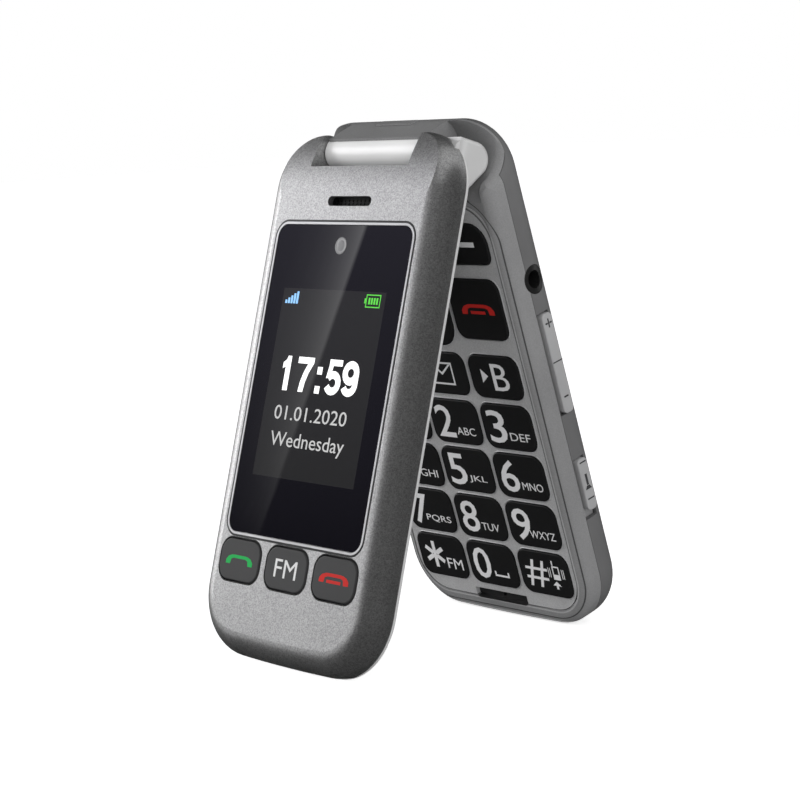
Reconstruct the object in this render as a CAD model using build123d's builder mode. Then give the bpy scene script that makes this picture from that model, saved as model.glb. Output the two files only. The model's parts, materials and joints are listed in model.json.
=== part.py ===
from build123d import *
import os
from math import acos, asin, atan2, cos, hypot, radians, sin, sqrt

# Flip phone with large keys, standing like a tent with its lid part open.  Millimetres.
#
# Both halves are measured alike, from the hinge axis: u across the phone, v from the axis
# towards the free end, and w square to the faces, positive on the lid's outer side when
# the phone is shut.  Each half has a leaning frame of its own, and both meet at the axis.

# ---- Driving dimensions ------------------------------------------------------------------

OPEN_ANGLE = 31.8  # angle between the halves as the phone stands
HALF_WIDTH = 27.0

LID_TOP = 3.2  # the lid's ears run this far past the axis
LID_END = 104.0
LID_BOW = 0.8
LID_INNER = 0.2  # rim of the lid's inner side
LID_FLOOR = 0.6  # inner panel, set back from that rim
LID_PARTING = 1.1  # joint line between the inner frame and the outer shell
LID_OUTER = 6.9
LID_TOP_RADIUS = 12.0
LID_END_RADIUS = 13.5
LID_ROUND = 4.8
LID_WALL = 1.3
CROWN_START = 10.7  # the outer face bends down from here to the hinge end
CROWN_RADIUS = 34.0
FRAME_EDGE = 0.4  # small radius on the frame's outer rim

BASE_TOP = 4.5
BASE_END = 103.8
BASE_BOW = 0.6
BASE_RIM = -0.2
BASE_PARTING = -4.6
BASE_BACK = -12.0
BASE_TOP_RADIUS = 10.5
BASE_END_RADIUS = 12.0
BACK_ROUND = 6.0
RIM_ROUND = 2.5
BASE_WALL = 1.3

SEAM = 0.1  # gap between pieces that close on one another
EASE = 0.2  # gap round a piece that drops into a hole
RUNNING = 0.05  # radial clearance of a turning fit

# hinge
SLEEVE_RADIUS = 3.4
SLEEVE_HALF = 14.8
SLEEVE_BORE = 2.8
SLEEVE_CAP = 1.5
BLOCK_HALF = 14.4
NOTCH_HALF = 15.0
NOTCH_FLOOR = 4.1
PIN_RADIUS = 1.3
PIN_START = 8.5
BOSS_RADIUS = 2.1
LUG_OUTER = HALF_WIDTH - 3.0
LUG_RADIUS = 3.5
LUG_ROUND = 1.2
BOSS_END = LUG_OUTER - 1.0
PIN_END = BOSS_END - 1.0
LUG_CENTRE = (0.95, -3.2)  # (v, w) of the lug's rounded foot
LUG_REACH = 10.5  # where the lug's slope runs out on the lid's inner face
SCOOP_RADIUS = 7.15  # hollow in the base that the lugs sweep through
LINING = 0.75  # the front housing lines the scoop this thick
SCOOP_ROUND = 2.5  # soft edge where the scoop runs out through the side
BLOCK_CREST = 1.6

# outer window
GLASS_HALF = HALF_WIDTH - 6.3
GLASS_TOP = 16.3
GLASS_END = LID_END - 24.7
GLASS_THICK = 0.95
GLASS_SINK = 0.05
GLASS_RADIUS = 2.6
TRIM_WIDTH = 1.05
DISPLAY_HALF = GLASS_HALF - 4.95
DISPLAY_TOP = 29.2
DISPLAY_END = GLASS_END - 11.6
LENS_V = 20.4
LENS_RADIUS = 1.75
SLOT_V = 11.4
SLOT_LENGTH = 13.4
SLOT_WIDTH = 2.0

# inner window
INNER_GLASS_HALF = HALF_WIDTH - 6.5
INNER_GLASS_TOP = 18.0
INNER_GLASS_END = LID_END - 16.0
INNER_GLASS_THICK = 0.8
FRAME_BACK = 2.0  # inner panel's hidden side
INNER_VIEW_HALF = INNER_GLASS_HALF - 1.3
INNER_VIEW_TOP = 22.0
INNER_VIEW_END = INNER_GLASS_END - 10.0
EARPIECE_V = LID_END - 9.0

# lid keys
LID_KEY_V = GLASS_END + 5.7
LID_KEY_PITCH = GLASS_HALF - 5.7
LID_KEY_SIZE = (LID_KEY_PITCH - 2.2, 8.4)
LID_KEY_RADIUS = 2.9
LID_KEY_PROUD = 0.2

# keypad
TRAVEL = 0.4
FASCIA_FACE = -0.3
FASCIA_THICK = 1.0
FASCIA_HALF = HALF_WIDTH - 2.6
FASCIA_TOP = 11.3
FASCIA_END = BASE_END - 4.0
FASCIA_TOP_RADIUS = 6.0
FASCIA_END_RADIUS = 8.0
SHELF = 0.6
KEY_FACE = 0.1
KEY_PITCH_U = (FASCIA_HALF - 0.7) / 1.5
FIRST_ROW_V = 47.5
LAST_ROW_V = FASCIA_END - 8.5
KEY_PITCH_V = (LAST_ROW_V - FIRST_ROW_V) / 4
DIGIT_SIZE = (KEY_PITCH_U - 1.1, KEY_PITCH_V - 0.95)
FIRST_ROW_SIZE = (KEY_PITCH_U - 1.3, 9.4)
KEY_RADIUS = 2.6
NAV_SIZE = (KEY_PITCH_U - 2.0, 22.0)
NAV_V = 30.25
SOFT_U = (FASCIA_HALF - 1.4 + NAV_SIZE[0] / 2 + 1.2) / 2
SOFT_SIZE = (2 * (FASCIA_HALF - 1.4 - SOFT_U), 8.45)
SOFT_V = 19.2
CALL_SIZE = (SOFT_SIZE[0] + 0.1, 12.9)
CALL_V = 32.95
NAV_HOLE = (7.4, 10.0)
NAV_HOLE_RADIUS = 0.8
NAV_CENTRE_RADIUS = 2.6
NAV_GAP = 0.35
NAV_DRAFT = 12  # the centre key widens towards its foot, so the ring keeps it in
NAV_RADIUS = 4.5
FLANGE = 0.35
FLANGE_THICK = 0.55
MIC_SLOT_HALF = 7.9
MIC_SLOT_V = FASCIA_END - 2.0

# side controls, on the right
JACK_V = 28.6
JACK_W = -6.7
JACK_BORE = 1.8
JACK_DEPTH = 14.5
JACK_COLLAR = 2.9
ROCKER_V = 46.3
ROCKER_LENGTH = 21.2
ROCKER_GAP = 0.5
SWITCH_V = 72.6
SWITCH_LENGTH = 11.2
SWITCH_TRAVEL = 1.5
SIDE_KEY_HIGH = -5.4
SIDE_KEY_LOW = -8.1
SIDE_KEY_PROUD = 0.7
SIDE_LIP_DEEP = 1.7  # outer wall in front of the lip that keeps a side key in
SIDE_LIP_THICK = 1.0
PORT_V = 30.0
PORT_W = -6.5
PORT_SIZE = (7.6, 2.7)

# inside the base
BOARD_TOP = -3.15
BOARD_THICK = 1.0
DOME_SHEET = 0.35
DOME_HIGH = 0.15
BATTERY_SIZE = (34.0, 53.0, 5.2)
BATTERY_END = BASE_END - 8.3
BATTERY_V = BATTERY_END - BATTERY_SIZE[1] / 2
CHASSIS_WALL = 1.0
TORCH_U = 10.0 - HALF_WIDTH
TORCH_V = 19.5
TORCH_RADIUS = 2.4

# lid stack, measured in w
BOARD_LID = 3.1
BOARD_LID_THICK = 0.6

# fasteners
LID_SCREWS = [(side * (HALF_WIDTH - 5.0), 13.9) for side in (-1, 1)]
LID_SCREWS += [(side * (HALF_WIDTH - 9.5), LID_END - 5.4) for side in (-1, 1)]
BASE_SCREWS = [(side * (HALF_WIDTH - 16.0), 11.2) for side in (-1, 1)]
BASE_SCREWS += [(side * (HALF_WIDTH - 10.0), BASE_END - 4.4) for side in (-1, 1)]
SCREW_RADIUS = 0.75
SCREW_HEAD = 1.5
HEAD_THICK = 0.6
POST_RADIUS = 1.75
BUMPER_RADIUS = 1.7
BUMPER_TIP = -0.15
BUMPER_SEAT = 0.8

# ---- Stance: both free ends stand on Z = 0, and the whole is centred over the origin -----


def stance():
    """Lean of the lid, and place of the hinge axis, from the rounds that touch the ground."""
    lid_v = LID_END - FRAME_EDGE
    lid_w = LID_INNER + FRAME_EDGE
    base_v = BASE_END - RIM_ROUND
    base_w = BASE_RIM - RIM_ROUND
    spread = radians(OPEN_ANGLE)
    along = -lid_v + base_v * cos(spread) + base_w * sin(spread)
    across = lid_w + base_v * sin(spread) - base_w * cos(spread)
    drop = FRAME_EDGE - RIM_ROUND
    lid = atan2(across, along) - acos(drop / hypot(along, across))
    base = spread - lid
    height = lid_v * cos(lid) - lid_w * sin(lid) + FRAME_EDGE
    front = (LID_END - LID_ROUND) * sin(lid) + (LID_OUTER - LID_ROUND) * cos(lid) + LID_ROUND
    back_v = BASE_END - BACK_ROUND
    back_w = BASE_BACK + BACK_ROUND
    back = back_v * sin(base) - back_w * cos(base) + BACK_ROUND
    return -lid, base, (front - back) / 2, height


LID_LEAN, BASE_LEAN, HINGE_Y, HINGE_Z = stance()
HINGE_X = -SIDE_KEY_PROUD / 2


def plan(lean, w):
    """Plane parallel to a half's faces: x across the phone, y towards the hinge."""
    out = Vector(0, -cos(lean), -sin(lean))
    axis = Vector(HINGE_X, HINGE_Y, HINGE_Z)
    return Plane(origin=axis + out * w, x_dir=(1, 0, 0), z_dir=out)


def section(lean, u=0.0):
    """Plane across the hinge axis: x towards the free end, y out of the lid's outer side."""
    down = Vector(0, sin(lean), -cos(lean))
    return Plane(origin=(HINGE_X + u, HINGE_Y, HINGE_Z), x_dir=down, z_dir=(-1, 0, 0))


def lid_plan(w):
    return plan(LID_LEAN, w)


def base_plan(w):
    return plan(BASE_LEAN, w)


def outline(half, top, end, top_radius, end_radius, bow):
    """Plan outline of a half: straight at the hinge end, gently bowed at the free end."""
    with BuildSketch() as face:
        with BuildLine():
            sides = Polyline((-half, bow - end), (-half, top), (half, top), (half, bow - end))
            ThreePointArc(sides @ 1, (0, -end), sides @ 0)
        make_face()
        fillet(face.vertices().group_by(Axis.Y)[-1], top_radius)
        fillet(face.vertices().group_by(Axis.Y)[0], end_radius)
    return face.sketch


def window(half, top, end, radius):
    """Rounded rectangle from v = top to v = end."""
    with BuildSketch() as face:
        with Locations((0, -(top + end) / 2)):
            RectangleRounded(2 * half, end - top, radius)
    return face.sketch


def block(plane_at, low, high, u_range, v_range):
    """Box between two heights, two sides and two ends."""
    with BuildPart() as box:
        with BuildSketch(plane_at(low)):
            with Locations((sum(u_range) / 2, -sum(v_range) / 2)):
                Rectangle(u_range[1] - u_range[0], v_range[1] - v_range[0])
        extrude(amount=high - low)
    return box.part


def across(lean, sketch, u_low, u_high):
    """A section sketch drawn out across the phone."""
    with BuildPart() as bar:
        with BuildSketch(section(lean, u_high)):
            add(sketch)
        extrude(amount=u_high - u_low)
    return bar.part


def disc(radius, v=0.0, w=0.0):
    """Round section about the hinge axis or another (v, w)."""
    with BuildSketch() as face:
        with Locations((v, w)):
            Circle(radius)
    return face.sketch


def post(plane_at, low, high, radius, spots):
    """Round posts between two heights at (u, v) spots."""
    with BuildPart() as posts:
        with BuildSketch(plane_at(low)):
            with Locations(*[(u, -v) for u, v in spots]):
                Circle(radius)
        extrude(amount=high - low)
    return posts.part


# ---- Lid ---------------------------------------------------------------------------------


def lid_outline(inset):
    return outline(
        HALF_WIDTH - inset,
        LID_TOP - inset,
        LID_END - inset,
        LID_TOP_RADIUS - inset,
        LID_END_RADIUS - inset,
        LID_BOW,
    )


def lid_form(inset, low):
    """The lid's outer form, set in all round, from a height up to the outer face."""
    face_w = LID_OUTER - inset
    bend = CROWN_RADIUS - inset
    tip_v = -LID_TOP - 1
    run = CROWN_START - tip_v
    tip_w = face_w - bend + sqrt(bend**2 - run**2)
    with BuildPart() as form:
        with BuildSketch(lid_plan(low)):
            add(lid_outline(inset))
        extrude(amount=face_w - low)
        top_face = form.faces().sort_by(Axis(form.part.center(), lid_plan(0).z_dir))[-1]
        fillet(top_face.edges(), LID_ROUND - inset)
        with BuildSketch(section(LID_LEAN, HALF_WIDTH)):
            with BuildLine():
                bent = TangentArc((CROWN_START, face_w), (tip_v, tip_w), tangent=(-1, 0))
                Polyline(
                    bent @ 1, (tip_v, low - 1), (LID_END + 1, low - 1), (LID_END + 1, face_w), bent @ 0
                )
            make_face()
        extrude(amount=2 * HALF_WIDTH, mode=Mode.INTERSECT)
    return form.part


GLASS_FLOOR = LID_OUTER - GLASS_SINK - GLASS_THICK
TRIM_HALF = GLASS_HALF + TRIM_WIDTH
ROOF = LID_OUTER - LID_WALL

with BuildPart() as hollow:
    add(lid_form(LID_WALL, LID_PARTING - 1))
    keep_out = (-NOTCH_HALF - LID_WALL, NOTCH_HALF + LID_WALL)
    add(
        block(lid_plan, -1, LID_OUTER, keep_out, (-2 * LID_TOP, NOTCH_FLOOR + LID_WALL)),
        mode=Mode.SUBTRACT,
    )

with BuildPart() as lid_posts:
    add(post(lid_plan, FRAME_BACK, LID_OUTER, POST_RADIUS, LID_SCREWS))
    add(lid_form(LID_WALL - SEAM, LID_PARTING), mode=Mode.INTERSECT)

LID_KEYS = [("lid_call_key", -1), ("lid_radio_key", 0), ("lid_end_key", 1)]


def rounded(size, radius, grow=0.0):
    """Rounded rectangle centred on its spot."""
    with BuildSketch() as face:
        RectangleRounded(size[0] + 2 * grow, size[1] + 2 * grow, radius + grow)
    return face.sketch


with BuildPart() as lid_outer_shell:
    add(lid_form(0, LID_PARTING))
    add(hollow.part, mode=Mode.SUBTRACT)
    add(
        block(lid_plan, 0, LID_OUTER + 1, (-NOTCH_HALF, NOTCH_HALF), (-2 * LID_TOP, NOTCH_FLOOR)),
        mode=Mode.SUBTRACT,
    )
    # saddle over the hinge boss in each ear
    add(across(LID_LEAN, disc(BOSS_RADIUS + SEAM), -BOSS_END - SEAM, BOSS_END + SEAM), mode=Mode.SUBTRACT)
    # screw posts
    add(lid_posts.part)
    add(post(lid_plan, FRAME_BACK, ROOF - HEAD_THICK, SCREW_RADIUS + RUNNING, LID_SCREWS), mode=Mode.SUBTRACT)
    # seat of the glass and its trim
    with BuildSketch(lid_plan(GLASS_FLOOR)):
        add(window(TRIM_HALF, GLASS_TOP - TRIM_WIDTH, GLASS_END + TRIM_WIDTH, GLASS_RADIUS + TRIM_WIDTH))
    extrude(amount=LID_WALL, mode=Mode.SUBTRACT)
    # opening for the display, hole for the camera
    with BuildSketch(lid_plan(ROOF - 1)):
        add(window(DISPLAY_HALF + 1, DISPLAY_TOP - 1, DISPLAY_END + 1, 1))
        with Locations((0, -LENS_V)):
            Circle(LENS_RADIUS + 2 * EASE)
    extrude(amount=LID_WALL, mode=Mode.SUBTRACT)
    # speaker slot
    with BuildSketch(lid_plan(ROOF - 1)):
        with Locations((0, -SLOT_V)):
            SlotOverall(SLOT_LENGTH, SLOT_WIDTH)
    extrude(amount=2 * LID_WALL, mode=Mode.SUBTRACT)
    # key holes
    with BuildSketch(lid_plan(ROOF - 1)):
        with Locations(*[(side * LID_KEY_PITCH, -LID_KEY_V) for _, side in LID_KEYS]):
            add(rounded(LID_KEY_SIZE, LID_KEY_RADIUS, EASE))
    extrude(amount=2 * LID_WALL, mode=Mode.SUBTRACT)
lid_outer_shell.part.label = "lid_outer_shell"


def lug_section(grow=0.0):
    """Side view of a lug: a round foot under the axis and a slope back to the lid's face."""
    foot_v, foot_w = LUG_CENTRE
    radius = LUG_RADIUS + grow
    reach_v = LUG_REACH - foot_v
    reach_w = LID_INNER - foot_w
    slope = atan2(reach_w, reach_v) + asin(LUG_RADIUS / hypot(reach_v, reach_w))
    touch = (foot_v + radius * sin(slope), foot_w - radius * cos(slope))
    root = LID_PARTING - SEAM
    run = (root - touch[1]) / sin(slope)
    far = (touch[0] + run * cos(slope), root)
    near = (foot_v - radius, foot_w)
    with BuildSketch() as face:
        with BuildLine():
            foot = ThreePointArc(near, (foot_v, foot_w - radius), touch)
            Polyline(foot @ 1, far, (foot_v - radius, root), foot @ 0)
        make_face()
    return face.sketch


LUG_INNER = NOTCH_HALF + RUNNING

with BuildPart() as lug_bar:
    add(across(LID_LEAN, lug_section(), -LUG_OUTER, LUG_OUTER))
    end_faces = lug_bar.faces().sort_by(Axis.X)
    fillet(end_faces[0].edges() + end_faces[-1].edges(), LUG_ROUND)
    add(across(LID_LEAN, disc(BOSS_RADIUS), -BOSS_END, BOSS_END))
    add(
        block(lid_plan, -2 * SCOOP_RADIUS, SCOOP_RADIUS, (-LUG_INNER, LUG_INNER), (-HALF_WIDTH, HALF_WIDTH)),
        mode=Mode.SUBTRACT,
    )

with BuildPart() as lid_inner_frame:
    # rim, closed on the outer shell
    with BuildSketch(lid_plan(LID_INNER)):
        add(lid_outline(0))
    extrude(amount=LID_PARTING - SEAM - LID_INNER)
    rim_face = lid_inner_frame.faces().sort_by(Axis((0, 0, 0), lid_plan(0).z_dir))[0]
    fillet(rim_face.edges(), FRAME_EDGE)
    # panel that stands up inside the shell
    with BuildSketch(lid_plan(LID_PARTING - SEAM)):
        add(lid_outline(LID_WALL + SEAM))
    extrude(amount=FRAME_BACK - LID_PARTING + SEAM)
    add(
        block(
            lid_plan,
            LID_PARTING - SEAM,
            LID_OUTER,
            (-NOTCH_HALF - LID_WALL - SEAM, NOTCH_HALF + LID_WALL + SEAM),
            (-2 * LID_TOP, NOTCH_FLOOR + LID_WALL + SEAM),
        ),
        mode=Mode.SUBTRACT,
    )
    add(
        block(lid_plan, -1, LID_OUTER, (-NOTCH_HALF, NOTCH_HALF), (-2 * LID_TOP, NOTCH_FLOOR)),
        mode=Mode.SUBTRACT,
    )
    # panel set back from the rim, so that the keys clear it
    with BuildSketch(lid_plan(LID_INNER - 1)):
        add(outline(FASCIA_HALF, -FASCIA_TOP, FASCIA_END + EASE, FASCIA_TOP_RADIUS, FASCIA_END_RADIUS, LID_BOW))
    extrude(amount=LID_FLOOR - LID_INNER + 1, mode=Mode.SUBTRACT)
    # seat and opening of the inner window
    with BuildSketch(lid_plan(LID_FLOOR - SEAM)):
        add(window(INNER_GLASS_HALF + SEAM, INNER_GLASS_TOP - SEAM, INNER_GLASS_END + SEAM, GLASS_RADIUS))
    extrude(amount=INNER_GLASS_THICK + 2 * SEAM, mode=Mode.SUBTRACT)
    with BuildSketch(lid_plan(LID_FLOOR)):
        add(window(INNER_VIEW_HALF + SEAM, INNER_VIEW_TOP - SEAM, INNER_VIEW_END + SEAM, SEAM))
        with Locations((0, -EARPIECE_V)):
            SlotOverall(10, 1.4)
    extrude(amount=FRAME_BACK, mode=Mode.SUBTRACT)
    add(lug_bar.part)
    # hinge bore through both lugs
    add(across(LID_LEAN, disc(PIN_RADIUS + RUNNING / 2), -PIN_END - SEAM, PIN_END + SEAM), mode=Mode.SUBTRACT)
    # screw holes with counterbores that also take the bumpers
    add(post(lid_plan, 0, FRAME_BACK + 1, SCREW_RADIUS + SEAM, LID_SCREWS), mode=Mode.SUBTRACT)
    add(post(lid_plan, 0, BUMPER_SEAT + HEAD_THICK, BUMPER_RADIUS + RUNNING, LID_SCREWS), mode=Mode.SUBTRACT)
lid_inner_frame.part.label = "lid_inner_frame"


# ---- What the lid carries ----------------------------------------------------------------

with BuildPart() as outer_window_glass:
    with BuildSketch(lid_plan(GLASS_FLOOR)):
        add(window(GLASS_HALF, GLASS_TOP, GLASS_END, GLASS_RADIUS))
    extrude(amount=GLASS_THICK)
outer_window_glass.part.label = "outer_window_glass"

with BuildPart() as outer_window_trim:
    with BuildSketch(lid_plan(GLASS_FLOOR)):
        add(window(TRIM_HALF - RUNNING, GLASS_TOP - TRIM_WIDTH, GLASS_END + TRIM_WIDTH, GLASS_RADIUS + TRIM_WIDTH))
        add(window(GLASS_HALF + SEAM, GLASS_TOP - SEAM, GLASS_END + SEAM, GLASS_RADIUS), mode=Mode.SUBTRACT)
    extrude(amount=GLASS_THICK + SEAM)
outer_window_trim.part.label = "outer_window_trim"

LID_BOARD_FACE = BOARD_LID + BOARD_LID_THICK
LID_BOARD_TOP = 22.0
LID_BOARD_END = LID_END - 13.0
LID_BOARD_HALF = HALF_WIDTH - 6.0

with BuildPart() as outer_display_panel:
    with BuildSketch(lid_plan(LID_BOARD_FACE)):
        add(window(DISPLAY_HALF + 1 - EASE, DISPLAY_TOP - 1 + EASE, DISPLAY_END + 1 - EASE, 1 - EASE))
    extrude(amount=GLASS_FLOOR - LID_BOARD_FACE)
outer_display_panel.part.label = "outer_display_panel"

CAMERA_SIZE = 7.0

with BuildPart() as camera_module:
    with BuildSketch(lid_plan(LID_BOARD_FACE)):
        with Locations((0, -LENS_V)):
            Rectangle(CAMERA_SIZE, CAMERA_SIZE)
    extrude(amount=ROOF - LID_BOARD_FACE)
    add(post(lid_plan, ROOF, GLASS_FLOOR, LENS_RADIUS + EASE, [(0, LENS_V)]))
    add(post(lid_plan, ROOF, GLASS_FLOOR, LENS_RADIUS / 2, [(0, LENS_V)]), mode=Mode.SUBTRACT)
camera_module.part.label = "camera_module"

MESH_THICK = 0.2
MESH_FACE = ROOF - 3 * SEAM
SPEAKER_THICK = 2.6
SPEAKER_BREADTH = 6.8
SPEAKER_LENGTH = 15.0
SPEAKER_V = SLOT_V - 0.2

with BuildPart() as speaker_mesh:
    with BuildSketch(lid_plan(MESH_FACE - MESH_THICK)):
        with Locations((0, -SLOT_V)):
            Rectangle(SLOT_LENGTH + 1, 2 * SLOT_WIDTH)
        with GridLocations(1.2, 0.7, 10, 2):
            with Locations((0, -SLOT_V)):
                Circle(0.25, mode=Mode.SUBTRACT)
    extrude(amount=MESH_THICK)
speaker_mesh.part.label = "speaker_mesh"

with BuildPart() as loudspeaker:
    with BuildSketch(lid_plan(MESH_FACE - MESH_THICK - SPEAKER_THICK)):
        with Locations((0, -SPEAKER_V)):
            RectangleRounded(SPEAKER_LENGTH, SPEAKER_BREADTH, 1.5)
    extrude(amount=SPEAKER_THICK)
    with BuildSketch(lid_plan(MESH_FACE - MESH_THICK)):
        with Locations((0, -SPEAKER_V)):
            SlotOverall(SPEAKER_LENGTH - 2, SPEAKER_BREADTH - 3)
    extrude(amount=-0.5, mode=Mode.SUBTRACT)
loudspeaker.part.label = "loudspeaker"

with BuildPart() as lid_circuit_board:
    with BuildSketch(lid_plan(BOARD_LID)):
        add(window(LID_BOARD_HALF, LID_BOARD_TOP, LID_BOARD_END, 1))
        with Locations((0, -LENS_V)):
            Rectangle(CAMERA_SIZE + 2, CAMERA_SIZE + 2)
    extrude(amount=BOARD_LID_THICK)
lid_circuit_board.part.label = "lid_circuit_board"

LID_KEY_SPOTS = [(side * LID_KEY_PITCH, LID_KEY_V) for _, side in LID_KEYS]
SHEET_THICK = 0.2
LID_SHEET_FACE = LID_BOARD_FACE + SHEET_THICK
LID_DOME_TIP = LID_SHEET_FACE + DOME_HIGH
DOME_RADIUS = 2.0
LID_SHEET_HALF = 5.5

with BuildPart() as lid_key_sheet:
    with BuildSketch(lid_plan(LID_BOARD_FACE)):
        add(window(LID_BOARD_HALF, LID_KEY_V - LID_SHEET_HALF, LID_KEY_V + LID_SHEET_HALF, 1))
    extrude(amount=SHEET_THICK)
    add(post(lid_plan, LID_BOARD_FACE, LID_DOME_TIP, DOME_RADIUS, LID_KEY_SPOTS))
lid_key_sheet.part.label = "lid_key_sheet"

CAP_ROUND = 0.3


def key_cap(plane_at, spot, cap, lip, top, under, plunger_spots, plunger_end):
    """Key with a cap, a lip that keeps it under its cover, and plungers for the domes."""
    toward = 1 if top > under else -1
    with BuildPart() as key:
        with BuildSketch(plane_at(under)):
            with Locations((spot[0], -spot[1])):
                add(cap)
        extrude(amount=top - under)
        crest = key.faces().sort_by(Axis((0, 0, 0), plane_at(0).z_dir))[-1]
        fillet(crest.edges(), CAP_ROUND)
        with BuildSketch(plane_at(under)):
            with Locations((spot[0], -spot[1])):
                add(lip)
        extrude(amount=-toward * FLANGE_THICK)
        add(post(plane_at, plunger_end, under - toward * FLANGE_THICK, 1.4, plunger_spots))
    return key.part


LID_KEY_UNDER = ROOF - SEAM / 2
lid_keys = []
for name, side in LID_KEYS:
    spot = (side * LID_KEY_PITCH, LID_KEY_V)
    cap = rounded(LID_KEY_SIZE, LID_KEY_RADIUS)
    lip = rounded(LID_KEY_SIZE, LID_KEY_RADIUS, FLANGE)
    tip = LID_DOME_TIP + TRAVEL + SEAM / 2
    key = key_cap(lid_plan, spot, cap, lip, LID_OUTER + LID_KEY_PROUD, LID_KEY_UNDER, [spot], tip)
    lid_keys.append((name, key))

with BuildPart() as inner_window_glass:
    with BuildSketch(lid_plan(LID_FLOOR)):
        add(window(INNER_GLASS_HALF, INNER_GLASS_TOP, INNER_GLASS_END, GLASS_RADIUS))
    extrude(amount=INNER_GLASS_THICK)
inner_window_glass.part.label = "inner_window_glass"

GLASS_BACK = LID_FLOOR + INNER_GLASS_THICK

with BuildPart() as inner_display_panel:
    with BuildSketch(lid_plan(GLASS_BACK)):
        add(window(INNER_VIEW_HALF - EASE, INNER_VIEW_TOP + EASE, INNER_VIEW_END - EASE, EASE))
    extrude(amount=BOARD_LID - GLASS_BACK)
inner_display_panel.part.label = "inner_display_panel"

RECEIVER_SIZE = (13.0, 6.0)

with BuildPart() as earpiece_receiver:
    with BuildSketch(lid_plan(FRAME_BACK)):
        with Locations((0, -EARPIECE_V)):
            RectangleRounded(*RECEIVER_SIZE, 1.5)
    extrude(amount=SPEAKER_THICK)
    with BuildSketch(lid_plan(FRAME_BACK)):
        with Locations((0, -EARPIECE_V)):
            SlotOverall(RECEIVER_SIZE[0] - 2, RECEIVER_SIZE[1] - 3)
    extrude(amount=0.5, mode=Mode.SUBTRACT)
earpiece_receiver.part.label = "earpiece_receiver"

with BuildPart() as lid_bumpers:
    add(post(lid_plan, BUMPER_TIP, BUMPER_SEAT, BUMPER_RADIUS, LID_SCREWS))
lid_bumpers.part.label = "lid_bumpers"

HEAD_SEAT = BUMPER_SEAT + HEAD_THICK

with BuildPart() as lid_screws:
    add(post(lid_plan, BUMPER_SEAT, HEAD_SEAT, SCREW_HEAD, LID_SCREWS))
    add(post(lid_plan, HEAD_SEAT, ROOF - LID_WALL, SCREW_RADIUS, LID_SCREWS))
lid_screws.part.label = "lid_screws"

# ---- Hinge -------------------------------------------------------------------------------

CARTRIDGE_START = 0.0
CARTRIDGE_END = SLEEVE_HALF - SEAM
DRIVE_FLAT = 0.35


def drive_section(radius):
    """Round shaft with one flat."""
    with BuildSketch() as face:
        Circle(radius)
        with Locations((0, 2 * radius - DRIVE_FLAT)):
            Rectangle(2 * radius, 2 * radius, mode=Mode.SUBTRACT)
    return face.sketch


with BuildPart() as hinge_drive_shaft:
    add(across(LID_LEAN, drive_section(PIN_RADIUS), PIN_START, PIN_END))
hinge_drive_shaft.part.label = "hinge_drive_shaft"

with BuildPart() as hinge_spring_cartridge:
    add(across(LID_LEAN, disc(SLEEVE_BORE - RUNNING), CARTRIDGE_START, CARTRIDGE_END))
    add(across(LID_LEAN, disc(PIN_RADIUS + RUNNING), PIN_START - SEAM, CARTRIDGE_END), mode=Mode.SUBTRACT)
hinge_spring_cartridge.part.label = "hinge_spring_cartridge"

TUBE_BORE = 0.9
TUBE_START = -PIN_END
TUBE_END = -9.0

with BuildPart() as hinge_pivot_tube:
    add(across(LID_LEAN, disc(PIN_RADIUS), TUBE_START, TUBE_END))
    add(across(LID_LEAN, disc(TUBE_BORE), TUBE_START, TUBE_END), mode=Mode.SUBTRACT)
hinge_pivot_tube.part.label = "hinge_pivot_tube"

FLEX_RADIUS = 0.8
FLEX_THICK = 0.2
FLEX_U = (-8.0, -2.0)
FLEX_REST = BOARD_TOP + FLEX_THICK / 2
FLEX_BENDS = (5.2, 9.0, 13.0)  # where it starts down, meets the board and ends


def flex_section(thickness):
    """Side view of the flat tail that runs from the hinge down to the circuit board."""
    level = FLEX_THICK / 2 - FLEX_RADIUS
    with BuildSketch() as face:
        with BuildLine() as path:
            start, foot, end = FLEX_BENDS
            Polyline((0, level), (start, level), (foot, FLEX_REST), (end, FLEX_REST))
        trace(line_width=thickness)
    return face.sketch


with BuildPart() as hinge_flex_cable:
    add(across(BASE_LEAN, disc(FLEX_RADIUS), TUBE_START + 1, FLEX_U[1]))
    add(across(BASE_LEAN, disc(FLEX_RADIUS - FLEX_THICK), TUBE_START + 1, FLEX_U[1]), mode=Mode.SUBTRACT)
    add(across(BASE_LEAN, flex_section(FLEX_THICK), *FLEX_U))
    add(across(BASE_LEAN, disc(FLEX_RADIUS - FLEX_THICK), TUBE_START + 1, FLEX_U[1]), mode=Mode.SUBTRACT)
hinge_flex_cable.part.label = "hinge_flex_cable"

FLEX_SLOT = (FLEX_U[0] - EASE, FLEX_U[1] + EASE)
flex_slot = across(BASE_LEAN, flex_section(FLEX_THICK + 2 * EASE), *FLEX_SLOT)

with BuildPart() as hinge_barrel_sleeve:
    add(across(BASE_LEAN, disc(SLEEVE_RADIUS), -SLEEVE_HALF, SLEEVE_HALF))
    add(across(BASE_LEAN, disc(SLEEVE_BORE), SLEEVE_CAP - SLEEVE_HALF, SLEEVE_HALF), mode=Mode.SUBTRACT)
    add(across(BASE_LEAN, disc(PIN_RADIUS + RUNNING), -SLEEVE_HALF, SLEEVE_HALF), mode=Mode.SUBTRACT)
    add(flex_slot, mode=Mode.SUBTRACT)
hinge_barrel_sleeve.part.label = "hinge_barrel_sleeve"

# ---- Base --------------------------------------------------------------------------------


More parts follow.
